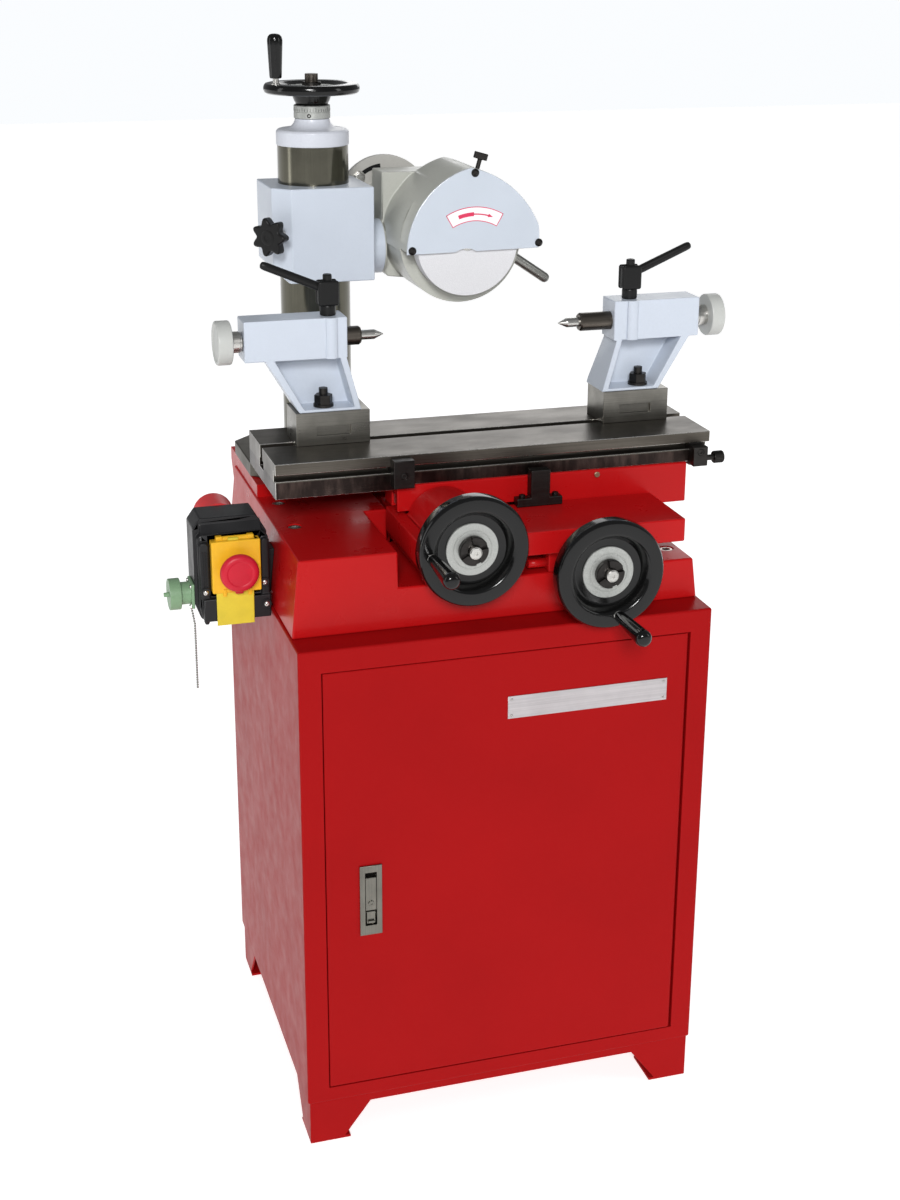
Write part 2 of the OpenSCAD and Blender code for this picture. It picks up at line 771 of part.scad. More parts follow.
module column_tube() {
  color(dark)
  difference() {
    cyl_z(col_x, col_y, col_r, col_z0, col_z1);
    cyl_z(col_x, col_y, col_r - 11, col_z0 - 1, col_z1 + 1);
    box(col_x - 8, col_x + 8, col_y, col_y + col_r + 1, foot_z1 + 30, col_z1 - 16);
  }
}
module column_cap() {
  color(grey)
  translate([col_x, col_y, col_z1])
  difference() {
    union() {
      cylinder(r = col_r + 1, h = cap_h - 3);
      translate([0, 0, cap_h - 3]) cylinder(r1 = col_r + 1, r2 = col_r - 2, h = 3);
      translate([0, 0, cap_h]) cylinder(r1 = 36, r2 = 25, h = 6);
      translate([0, 0, cap_h + 6]) cylinder(r = 23, h = 8);
      translate([0, 0, cap_h + 14]) cylinder(r = 25, h = collar_h);
      translate([0, 0, -12]) cylinder(r = col_r - 11, h = 13);
    }
    translate([0, 0, -13]) cylinder(r = lift_r + run, h = 100);
    translate([0, 0, -13]) cylinder(r = 15, h = 8);
  }
}
module lift_screw() {
  color(steel) {
    cyl_z(col_x, col_y, lift_r, foot_z1 + 25, lift_wheel_z + 26);
    cyl_z(col_x, col_y, 14, col_z1 - 12, col_z1 - 5.5);
  }
}
lift_pin_r = top_wheel_d / 2 - 9;
module lift_handwheel() {
  color(black) translate([col_x, col_y, lift_wheel_z])
    handwheel(top_wheel_d, 7, 14, lift_r, 200, lift_pin_r, 64, lift_hub);
}
module lift_grip() {
  color(black) translate([col_x, col_y, lift_wheel_z])
    grip(lift_pin_r, 22, 200, 58, 8.3, 10.3);
}
module head_block() {
  color(grey)
  difference() {
    union() {
      difference() {
        translate([0, 0, head_z0]) linear_extrude(head_z1 - head_z0)
          polygon([[head_l + 23, head_y0], [head_r, head_y0], [head_r, head_y1],
            [head_l, head_y1], [head_l, head_y0 + 23]]);
        cyl_z(col_x, col_y, col_r + run, head_z0 - 1, head_z1 + 1);
        prism_y(head_y0 - 1, head_y1 + 1, [[head_l - 1, head_z0 - 1], [head_l + 20, head_z0 - 1],
          [head_l - 1, head_z0 + 20]]);
      }
      cyl_x(tilt_y, tilt_z, tilt_r, head_r - 2, head_r + 24);
      cyl_z(col_x, col_y, 18, spin_z - 15, spin_z + 25);
      box(col_x - 7.7, col_x + 7.7, col_y + 14, head_y1 - 1, spin_z - 15, spin_z + 25);
    }
    cyl_z(col_x, col_y, lift_r + run, spin_z - 16, spin_z + 26);
    cyl_x(tilt_y, tilt_z, 15 + run, head_r - 13, head_r + 25);
    translate([head_l + 11.5, head_y0 + 11.5, spin_z + 10]) rotate([90, 0, -45])
      translate([0, 0, -20]) cylinder(r = 6 + run, h = 30);
  }
}
module star_knob() {
  color(black)
  translate([head_l + 11.5, head_y0 + 11.5, spin_z + 10]) rotate([90, 0, -45]) {
    translate([0, 0, -14]) cylinder(r = 6, h = 34);
    translate([0, 0, 14]) cylinder(r = 12, h = 8);
    translate([0, 0, 21]) linear_extrude(15) {
      circle(r = 21);
      for (a = [0 : 60 : 300]) rotate([0, 0, a]) translate([19, 0]) circle(r = 8);
    }
  }
}

// Wheelhead
module guard_2d(o) {
  intersection() {
    translate([spin_x + 30.4, spin_z - 11.7]) circle(r = 117 - o, $fn = 128);
    translate([spin_x - 25.4, spin_z - 31.1]) circle(r = 136 - o, $fn = 128);
    translate([spin_x + 4, spin_z + 6]) circle(r = 95 - o + 2, $fn = 128);
    polygon([[-100, spin_z - 12], [200, spin_z - 8], [200, spin_z + 120],
      [-100, spin_z + 120]]);
  }
}
module guard_solid(o, y0, y1) {
  translate([0, y1, 0]) rotate([90, 0, 0]) linear_extrude(y1 - y0) guard_2d(o);
}
flank = 0.98;
module stadium(r, y0, y1) {
  dx = spin_x - motor_x;
  dz = spin_z - motor_z;
  translate([motor_x, y1, motor_z]) rotate([90, 0, 0]) linear_extrude(y1 - y0) {
    circle(r = r);
    translate([dx, dz]) circle(r = r);
    rotate([0, 0, atan2(dz, dx)]) translate([0, -r * flank])
      square([sqrt(dx * dx + dz * dz), 2 * r * flank]);
  }
}
module wheelhead_housing() {
  color(cast)
  difference() {
    union() {
      guard_solid(0, plate_y + 4, drum_y1);
      cyl_y(spin_x, spin_z, lip_r, 78, drum_y1);
      prism_y(drum_y1 - 1, case_y0 + 1, [[gear_l, spin_z - 52], [gear_l + 8, spin_z - 63],
        [-26, spin_z - 66], [-4, spin_z - 78], [60, spin_z - 78], [90, spin_z - 40],
        [90, spin_z + 58], [66, spin_z + 83], [gear_l, spin_z + 83]]);
      stadium(34, case_y0, case_y1);
      cyl_x(tilt_y, tilt_z, tilt_r, head_r + 24 + nodes_gap, gear_l + 1);
      cyl_x(tilt_y, tilt_z, 15, head_r - 12, gear_l + 1);
    }
    guard_solid(10, plate_y + 3, 78);
    difference() {
      cyl_y(spin_x, spin_z, wheel_r + 3, plate_y + 3, 78);
      translate([0, 0, spin_z + 40]) box(-200, 300, plate_y, 79, 0, 200);
    }
    translate([0, 0, spin_z - 120]) box(-200, 300, plate_y, 78, 0, 112);
    cyl_y(spin_x, spin_z, 10 + run, 77, case_y0 + 4);
    cyl_y(spin_x, spin_z, 20, 100, 200);
    stadium(21, case_y0 + 3, case_y1 - 5);
    cyl_y(motor_x, motor_z, 10, case_y1 - 6, case_y1 + 1);
    for (p = guard_screws_xz) cyl_y(p[0], p[1], 2.5, plate_y, plate_y + 16);
    thumb_place() translate([0, 0, -20]) cylinder(r = 3 + run, h = 50);
    handle_place() translate([0, 0, -0.5]) cylinder(r = 7 + run, h = 70);
  }
}
guard_screws_xz = [[36, spin_z + 95], [-51.5, spin_z - 6], [128, spin_z - 2]];
module thumb_place() {
  translate([spin_x + 16, plate_y + 20, spin_z + 94]) rotate([0, 16, 0]) children();
}
module guard_plate() {
  color(grey)
  difference() {
    guard_solid(0, plate_y, plate_y + 3.9);
    for (p = guard_screws_xz) cyl_y(p[0], p[1], 2.5, plate_y - 1, plate_y + 5);
    cyl_y(spin_x - 3.5, spin_z - 32.5, 26.5, plate_y - 1, plate_y + 5);
  }
}
module guard_screws() {
  color(black)
  for (p = guard_screws_xz) {
    cyl_y(p[0], p[1], 2.5, plate_y - 1, plate_y + 15);
    cyl_y(p[0], p[1], 5.5, plate_y - 3.6, plate_y);
  }
}
module guard_thumb_screw() {
  color(black) thumb_place() {
    translate([0, 0, -6]) cylinder(r = 3, h = 24);
    translate([-9, -4, 17]) cube([18, 8, 9]);
  }
}
module handle_place() {
  translate([96, 95, spin_z - 20]) rotate([0, 124, 0]) children();
}
module head_handle() {
  color(steel)
  handle_place() rotate_extrude()
    polygon([[0, 0], [7, 0], [7, 75], [6, 78], [3.2, 80], [0, 80]]);
}
module grinding_wheel() {
  color(white)
  difference() {
    cyl_y(spin_x, spin_z, wheel_r, wheel_y, wheel_y + wheel_w);
    cyl_y(spin_x, spin_z, 10, wheel_y - 1, wheel_y + wheel_w + 1);
  }
}
module spindle() {
  color(steel) {
    difference() {
      cyl_y(spin_x, spin_z, 10, wheel_y + 1, case_y1 - 6);
      translate([spin_x, wheel_y + 9, spin_z]) rotate([90, 0, 0]) cylinder(r = 5, h = 9, $fn = 6);
    }
    cyl_y(spin_x, spin_z, 23, wheel_y + wheel_w, wheel_y + wheel_w + 6);
    cyl_y(spin_x, spin_z, pulley_r, case_y0 + 4, case_y1 - 6);
  }
}
module drive_belt() {
  color(black)
  difference() {
    stadium(pulley_r + 3, case_y0 + 6, case_y1 - 8);
    stadium(pulley_r + 0.1, case_y0 + 5, case_y1 - 7);
  }
}
module motor_body() {
  color(cast)
  difference() {
    union() {
      cyl_y(motor_x, motor_z, 68, case_y1, case_y1 + 10);
      cyl_y(motor_x, motor_z, 50, case_y1 + 9, motor_y1);
    }
    cyl_y(motor_x, motor_z, 8 + run, case_y1 - 1, motor_y1 - 2);
    cyl_y(motor_x, motor_z, 40.4, case_y1 + 14, motor_y1 - 7);
  }
}
module motor_rotor() {
  color(steel) {
    cyl_y(motor_x, motor_z, 8, case_y0 + 4, motor_y1 - 3);
    cyl_y(motor_x, motor_z, pulley_r, case_y0 + 4, case_y1 - 6);
    cyl_y(motor_x, motor_z, 40, case_y1 + 15, motor_y1 - 8);
  }
}

// Switch unit on the left of the base casting
function pillar(x0, x1) = [[x0, sw_z0 + 30], [x1, sw_z0 + 30], [x1, sw_z1 - 33],
  [x1 - 3, sw_z1 - 29], [x0 + 3, sw_z1 - 29], [x0, sw_z1 - 33]];
module switch_housing() {
  wall_lo = -base_w + draft * 15 / (cheek_z - base_z);
  wall_hi = -base_w + draft * 75 / (cheek_z - base_z);
  color(black)
  difference() {
    union() {
      prism_y(sw_y0 + 10, sw_y1, [[sw_x0 + 7, sw_z0], [sw_x1, sw_z0], [sw_x1, sw_z1 - 24],
        [sw_x1 - 14, sw_z1], [sw_x0 + 10, sw_z1], [sw_x0, sw_z1 - 14], [sw_x0, sw_z0 + 20]]);
      prism_y(sw_y0, sw_y0 + 11, [[sw_x0 + 9, sw_z0], [sw_x1, sw_z0], [sw_x1, sw_z1 - 28],
        [sw_x1 - 8, sw_z1 - 19], [sw_x0 + 9, sw_z1 - 19], [sw_x0 + 4, sw_z1 - 24],
        [sw_x0 + 4, sw_z0 + 20]]);
      prism_x(sw_x0 + 9, sw_x1 - 8, [[sw_y0, sw_z1 - 20], [sw_y0 + 11, sw_z1 - 20],
        [sw_y0 + 11, sw_z1 - 6]]);
      box(sw_x0 + 9, sw_x1, sw_y0 - 8, sw_y0 + 1, sw_z0, sw_z0 + 31);
      prism_y(sw_y0 - 5, sw_y0 + 1, pillar(sw_x0 + 6, cover_x0 - 2));
      prism_y(sw_y0 - 5, sw_y0 + 1, pillar(cover_x1 + 2, sw_x1 - 1));
      prism_y(sw_y0 + 20, sw_y1 - 10, [[sw_x1 - 1, base_z + 15], [wall_lo, base_z + 15],
        [wall_hi, base_z + 75], [sw_x1 - 1, base_z + 75]]);
    }
    box(sw_x0 + 16, sw_x1 - 4, sw_y0 + 14, sw_y1 - 4, sw_z0 + 6, sw_z1 - 22);
    box(cover_x0 - 1, cover_x1 + 1, sw_y0 - 1, sw_y0 + 3, cover_z0 - 1, cover_z1 + 4);
    cyl_y(knob_x, knob_z, 10 + nodes_gap, sw_y0, sw_y0 + 15);
    cyl_y(knob_x, cover_z1 - 18, 10 + nodes_gap, sw_y0, sw_y0 + 15);
  }
}
module switch_cover() {
  hz = cover_z1 - 1;
  hy = sw_y0 - 3;
  color(yellow) {
    difference() {
      union() {
        box(cover_x0, cover_x1, cover_y, sw_y0 + 2, cover_z0, hz);
        cyl_x(hy, hz, 4, cover_x0 + 8, cover_x1 - 8);
      }
      box(cover_x0 + 2.5, cover_x1 - 2.5, cover_y + 2.5, sw_y0 + 3, cover_z0 + 2.5, hz - 5);
      cyl_y(knob_x, knob_z, 8 + run, cover_y - 1, cover_y + 4);
    }
    box(cover_x0 + 5, cover_x0 + 54, cover_y + 2, cover_y + 5, cover_z0 - 45.5, cover_z0 + 1);
  }
}
module switch_mushroom() {
  color(red) {
    cyl_y(knob_x, knob_z, 8, cover_y - 5, sw_y0 - 4.3);
    cyl_y(knob_x, knob_z, 18, cover_y - 12, cover_y - 5);
    cyl_y(knob_x, knob_z, 25.5, cover_y - 22, cover_y - 11.5);
  }
}
module button(z, c) {
  color(c) cyl_y(knob_x, z, 10, sw_y0 - 4, sw_y0 + 9);
}
module start_button() {
  button(cover_z1 - 18, green);
}
module stop_button() {
  button(knob_z, red);
}
module power_inlet() {
  color(red)
  difference() {
    cyl_y(inlet_x, inlet_z, 27, sw_y1, sw_y1 + 48);
    cyl_y(inlet_x, inlet_z, 23, sw_y1 + 8, sw_y1 + 49);
  }
  color(steel)
  for (a = [0 : 90 : 270])
    cyl_y(inlet_x + 14 * cos(a), inlet_z + 14 * sin(a), 2.5, sw_y1 + 7, sw_y1 + 36);
}
module chain_socket() {
  y = -50;
  z = sw_z0 + 30;
  color(green) {
    box(sw_x0 - 4, sw_x0, y - 18, y + 18, z - 17, z + 17);
    cyl_x(y, z, 15, sw_x0 - 18, sw_x0 - 4);
    cyl_x(y, z, 21, sw_x0 - 32, sw_x0 - 17);
    cyl_x(y, z, 3, sw_x0 - 38, sw_x0 - 31);
  }
}
// Small-bead chain as an eight-sided tube along its route
chain_r = 1.2;
chain_route = [[-380, -50, 20], [-381, -53, 17], [-380, -56, 10], [-378, -58, -5],
  [-378, -58, -38], [-378, -58, -70], [-378, -58, -97]];
module bead_chain() {
  n = len(chain_route);
  s = 8;
  color(steel)
  polyhedron(
    points = [for (p = chain_route) for (k = [0 : s - 1])
      [p[0] + chain_r * cos(k * 360 / s), p[1] + chain_r * sin(k * 360 / s), sw_z0 + p[2] - 8]],
    faces = concat([[for (k = [0 : s - 1]) k]],
      [for (i = [0 : n - 2]) for (k = [0 : s - 1])
        [i * s + k, (i + 1) * s + k, (i + 1) * s + (k + 1) % s, i * s + (k + 1) % s]],
      [[for (k = [s - 1 : -1 : 0]) (n - 1) * s + k]]));
}

cabinet_shell();
cabinet_feet();
cabinet_door();
latch_plate();
latch_paddle();
nameplate();
base_casting();
base_bolts();
cross_bracket();
cross_screw();
cross_nut();
cross_handwheel();
cross_grip();
saddle();
saddle_gib();
pinion_shaft();
table_handwheel();
table_grip();
stop_dog();
table_slide();
rack();
work_table();
table_stops();
stop_thumb_screw();
left_tailstock();
left_key_block();
left_centre();
left_knob();
left_lever();
right_tailstock();
right_key_block();
right_centre();
right_knob();
right_lever();
column_foot();
column_tube();
column_cap();
lift_screw();
lift_handwheel();
lift_grip();
head_block();
star_knob();
wheelhead_housing();
guard_plate();
guard_screws();
guard_thumb_screw();
head_handle();
grinding_wheel();
spindle();
drive_belt();
motor_body();
motor_rotor();
switch_housing();
switch_cover();
switch_mushroom();
start_button();
stop_button();
power_inlet();
chain_socket();
bead_chain();
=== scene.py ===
"""Tool and cutter grinder on a sheet-steel cabinet: finishes and finished pieces."""
from math import cos, pi, radians, sin

import bmesh
import bpy
from mathutils import Matrix, Vector


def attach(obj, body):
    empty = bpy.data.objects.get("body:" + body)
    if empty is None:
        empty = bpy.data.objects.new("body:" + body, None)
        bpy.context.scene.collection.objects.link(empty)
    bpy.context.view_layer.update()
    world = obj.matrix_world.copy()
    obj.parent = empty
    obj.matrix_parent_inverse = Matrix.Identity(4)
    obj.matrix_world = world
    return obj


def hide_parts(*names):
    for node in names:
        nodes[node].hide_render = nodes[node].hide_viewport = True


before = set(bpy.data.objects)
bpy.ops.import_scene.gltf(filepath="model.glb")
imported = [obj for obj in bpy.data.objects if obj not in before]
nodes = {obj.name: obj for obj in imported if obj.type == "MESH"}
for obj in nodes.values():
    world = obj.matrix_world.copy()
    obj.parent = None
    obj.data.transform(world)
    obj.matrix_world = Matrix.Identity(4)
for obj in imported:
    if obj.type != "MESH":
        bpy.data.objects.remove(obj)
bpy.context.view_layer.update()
finishes = {}
MM = 0.001

# Axes and centres that several pieces share, in millimetres
COLUMN = (-153, 185)
CROSS_WHEEL = (120, -258, 800)
TABLE_WHEEL = (-53, -230, 838)
CENTRES_Y, CENTRES_Z = -4, 1067
MOTOR_X, MOTOR_Z = -35, 1203
GUARD_FACE = (36, 40, 1143)
GUARD_SCREWS = [(36, 40, 1268), (-51.5, 40, 1167), (128, 40, 1171)]
SWITCH_SCREWS = [(-366, -85, 757), (-288.5, -85, 764), (-287, -88, 735)]
CHAIN = [(-380, -50, 728), (-381, -53, 725), (-380, -56, 718), (-378, -58, 703),
         (-378, -58, 670), (-378, -58, 638), (-378, -58, 611)]


# ---------------------------------------------------------------- camera, light and floor
def camera():
    data = bpy.data.cameras.new("camera")
    data.sensor_fit = "VERTICAL"
    data.sensor_height = 36
    data.lens = 52.89
    data.shift_y = -0.0667
    data.clip_end = 50
    heading, downward, roll = radians(-16.94), radians(18.25), radians(0.28)
    obj = bpy.data.objects.new("camera", data)
    obj.matrix_world = (Matrix.Translation((-0.688, -2.229, 1.565))
                        @ Matrix.Rotation(heading, 4, "Z")
                        @ Matrix.Rotation(pi / 2 - downward, 4, "X")
                        @ Matrix.Rotation(roll, 4, "Z"))
    bpy.context.collection.objects.link(obj)
    bpy.context.scene.camera = obj


def light(name, kind, place, power, **shape):
    """A light that looks at the middle of the machine."""
    data = bpy.data.lights.new(name, kind)
    data.energy = power
    for key, value in shape.items():
        setattr(data, key, value)
    obj = bpy.data.objects.new(name, data)
    obj.location = place
    obj.rotation_euler = (Vector((0, 0, 0.8)) - obj.location).to_track_quat("-Z", "Y").to_euler()
    bpy.context.collection.objects.link(obj)


def studio():
    """Soft daylight from the front, a pale room, and a pale floor without an edge."""
    ambient, backdrop = 0.20, 1.0
    light("sun", "SUN", (-1.4, -4.4, 3.1), 2.0, angle=radians(14))
    light("key_light", "AREA", (-0.6, -3.4, 2.2), 7, size=0.35)
    light("flash", "AREA", (-0.75, -2.5, 1.8), 7, size=0.13)
    light("left_light", "AREA", (-3.2, 0.4, 1.7), 9, shape="RECTANGLE", size=0.6, size_y=2.2)
    light("right_light", "AREA", (3.0, -2.0, 2.2), 14, shape="RECTANGLE", size=0.7, size_y=2.0)
    light("back_light", "AREA", (1.6, 3.4, 2.4), 20, shape="RECTANGLE", size=2.0, size_y=2.0)
    world = bpy.data.worlds.new("studio_air")
    world.use_nodes = True
    tree = world.node_tree
    air = tree.nodes["Background"]
    air.inputs["Color"].default_value = (0.96, 0.98, 1.0, 1)
    ray = tree.nodes.new("ShaderNodeLightPath")
    level = tree.nodes.new("ShaderNodeMapRange")
    level.inputs["To Min"].default_value = ambient
    level.inputs["To Max"].default_value = backdrop
    tree.links.new(ray.outputs["Is Camera Ray"], level.inputs["Value"])
    tree.links.new(level.outputs["Result"], air.inputs["Strength"])
    bpy.context.scene.world = world
    bpy.context.scene.view_settings.view_transform = "Standard"
    bm = bmesh.new()
    bmesh.ops.create_grid(bm, x_segments=2, y_segments=2, size=14)
    mesh = bpy.data.meshes.new("floor")
    bm.to_mesh(mesh)
    bm.free()
    floor = bpy.data.objects.new("floor", mesh)
    bpy.context.collection.objects.link(floor)
    floor.data.materials.append(finishes["floor"])


# ---------------------------------------------------------------- finishes
class Val:
    """A shader socket that takes part in sums."""

    def __init__(self, finish, socket):
        self.finish, self.socket = finish, socket

    def _sum(self, operation, other):
        return self.finish.node("ShaderNodeMath", {"operation": operation}, {0: self, 1: other})

    def __add__(self, other):
        return self._sum("ADD", other)

    def __mul__(self, other):
        return self._sum("MULTIPLY", other)

    __radd__, __rmul__ = __add__, __mul__


class Finish:
    """A material, and the calls that add its nodes."""

    def __init__(self, name, **fixed):
        self.material = bpy.data.materials.new(name)
        self.material.use_nodes = True
        self.tree = self.material.node_tree
        self.shader = self.tree.nodes["Principled BSDF"]
        self.set(**fixed)
        finishes[name] = self.material

    def set(self, **sockets):
        for name, value in sockets.items():
            self.put(self.shader.inputs[name.replace("_", " ")], value)

    def put(self, socket, value):
        if isinstance(value, Val):
            self.tree.links.new(value.socket, socket)
        elif isinstance(value, tuple) and socket.type == "RGBA":
            socket.default_value = (*value, 1)
        else:
            socket.default_value = value

    def node(self, kind, settings=None, sockets=None, out=0):
        node = self.tree.nodes.new(kind)
        for name, value in (settings or {}).items():
            setattr(node, name, value)
        for name, value in (sockets or {}).items():
            self.put(node.inputs[name], value)
        return Val(self, node.outputs[out])

    def place(self, scale=(1, 1, 1)):
        where = self.node("ShaderNodeTexCoord", out="Object")
        return self.node("ShaderNodeMapping", None, {"Vector": where, "Scale": scale})

    def noise(self, size, detail=3.0, rough=0.5, scale=(1, 1, 1)):
        return self.node("ShaderNodeTexNoise", None, {
            "Vector": self.place(scale), "Scale": 1 / size, "Detail": detail,
            "Roughness": rough})

    def cells(self, size):
        return self.node("ShaderNodeTexVoronoi", None, {
            "Vector": self.place(), "Scale": 1 / size})

    def height(self):
        return self.node("ShaderNodeSeparateXYZ", None, {"Vector": self.place()}, "Z")

    def ramp(self, value, *stops):
        shades = self.node("ShaderNodeValToRGB", None, {"Fac": value})
        elements = shades.socket.node.color_ramp.elements
        while len(elements) < len(stops):
            elements.new(0.5)
        for element, (place, colour) in zip(elements, stops):
            element.position = place
            element.color = (*colour, 1)
        return shades

    def level(self, value, low, high, to_low, to_high):
        return self.node("ShaderNodeMapRange", None, {
            "Value": value, "From Min": low, "From Max": high,
            "To Min": to_low, "To Max": to_high})

    def mix(self, share, a, b):
        return self.node("ShaderNodeMix", {"data_type": "RGBA"}, {0: share, 6: a, 7: b}, 2)

    def bump(self, height, depth):
        self.set(Normal=self.node("ShaderNodeBump", None, {
            "Height": height, "Distance": depth, "Strength": 1.0}))


def shade(colour, k):
    return tuple(min(1.0, v * k) for v in colour)


def paint(name, colour, gloss, grain, depth, coat=0.0, soil=0.12, spec=0.4):
    """Sprayed paint: cloudy colour, uneven gloss, orange peel, and some dust."""
    f = Finish(name, Coat_Weight=coat, Coat_Roughness=0.10, Specular_IOR_Level=spec)
    cloud = f.noise(0.2, 4, 0.55)
    specks = f.noise(0.003, 2, 0.6)
    base = f.ramp(cloud, (0.25, shade(colour, 0.93)), (0.5, colour), (0.8, shade(colour, 1.06)))
    f.set(Base_Color=f.mix(f.level(specks * cloud, 0.24, 0.5, 0.0, soil), base,
                           shade(colour, 0.7)),
          Roughness=f.level(f.noise(0.03, 4, 0.6), 0.3, 0.7, gloss * 0.85, gloss * 1.2))
    f.bump(f.noise(grain, 2, 0.5), depth)


def ground_steel(name, colour, rough, lay, depth, stain=0.35, patch=0.07):
    """Ground or turned steel: fine lines along one axis, under cloudy oil stain."""
    f = Finish(name, Metallic=1.0)
    stretch = {"X": (5, 900, 900), "Y": (900, 5, 900), "Z": (700, 700, 3)}[lay]
    lines = f.noise(1.0, 3, 0.7, stretch)
    cloud = f.noise(patch, 4, 0.62)
    bright = f.ramp(lines, (0.3, shade(colour, 0.85)), (0.7, shade(colour, 1.15)))
    f.set(Base_Color=f.mix(f.level(cloud, 0.4, 0.72, 0.0, stain), bright, shade(colour, 0.4)),
          Roughness=f.level(cloud + lines * 0.5, 0.45, 1.0, rough * 0.8, rough * 1.35))
    f.bump(lines, depth)


def moulded(name, colour, rough, grain=0.0007, depth=0.00005):
    """Moulded plastic with a fine spark texture and faint handling marks."""
    f = Finish(name, IOR=1.46, Specular_IOR_Level=0.3)
    smear = f.noise(0.035, 4, 0.6)
    f.set(Base_Color=f.ramp(smear, (0.3, shade(colour, 0.9)), (0.7, shade(colour, 1.08))),
          Roughness=f.level(smear, 0.3, 0.7, rough * 0.85, rough * 1.2))
    f.bump(f.noise(grain, 2, 0.5), depth)


def stained_table():
    """The work table: ground lines along it, and a darker, browner strip with vertical streaks
    below the groove.
    """
    f = Finish("table_steel", Metallic=1.0)
    lines = f.noise(1.0, 3, 0.7, (5, 900, 900))
    cloud = f.noise(0.06, 5, 0.65, (0.5, 1, 1))
    streaks = f.noise(0.012, 4, 0.6, (1, 1, 0.25))
    # Below z = 0.9 m the steel turns to the darker, streaked strip colour.
    low = f.level(f.height(), 0.9005, 0.8995, 0.0, 1.0)
    steel = f.ramp(lines, (0.3, (0.095, 0.085, 0.072)), (0.7, (0.15, 0.135, 0.115)))
    oily = f.mix(f.level(cloud, 0.4, 0.7, 0.0, 0.5), steel, (0.055, 0.047, 0.040))
    strip = f.mix(f.level(streaks, 0.42, 0.7, 0.0, 0.9), (0.030, 0.022, 0.020),
                  (0.085, 0.060, 0.052))
    f.set(Base_Color=f.mix(low, oily, strip),
          Roughness=f.level(cloud + lines * 0.5, 0.45, 1.0, 0.24, 0.42))
    f.bump(lines, 0.00001)


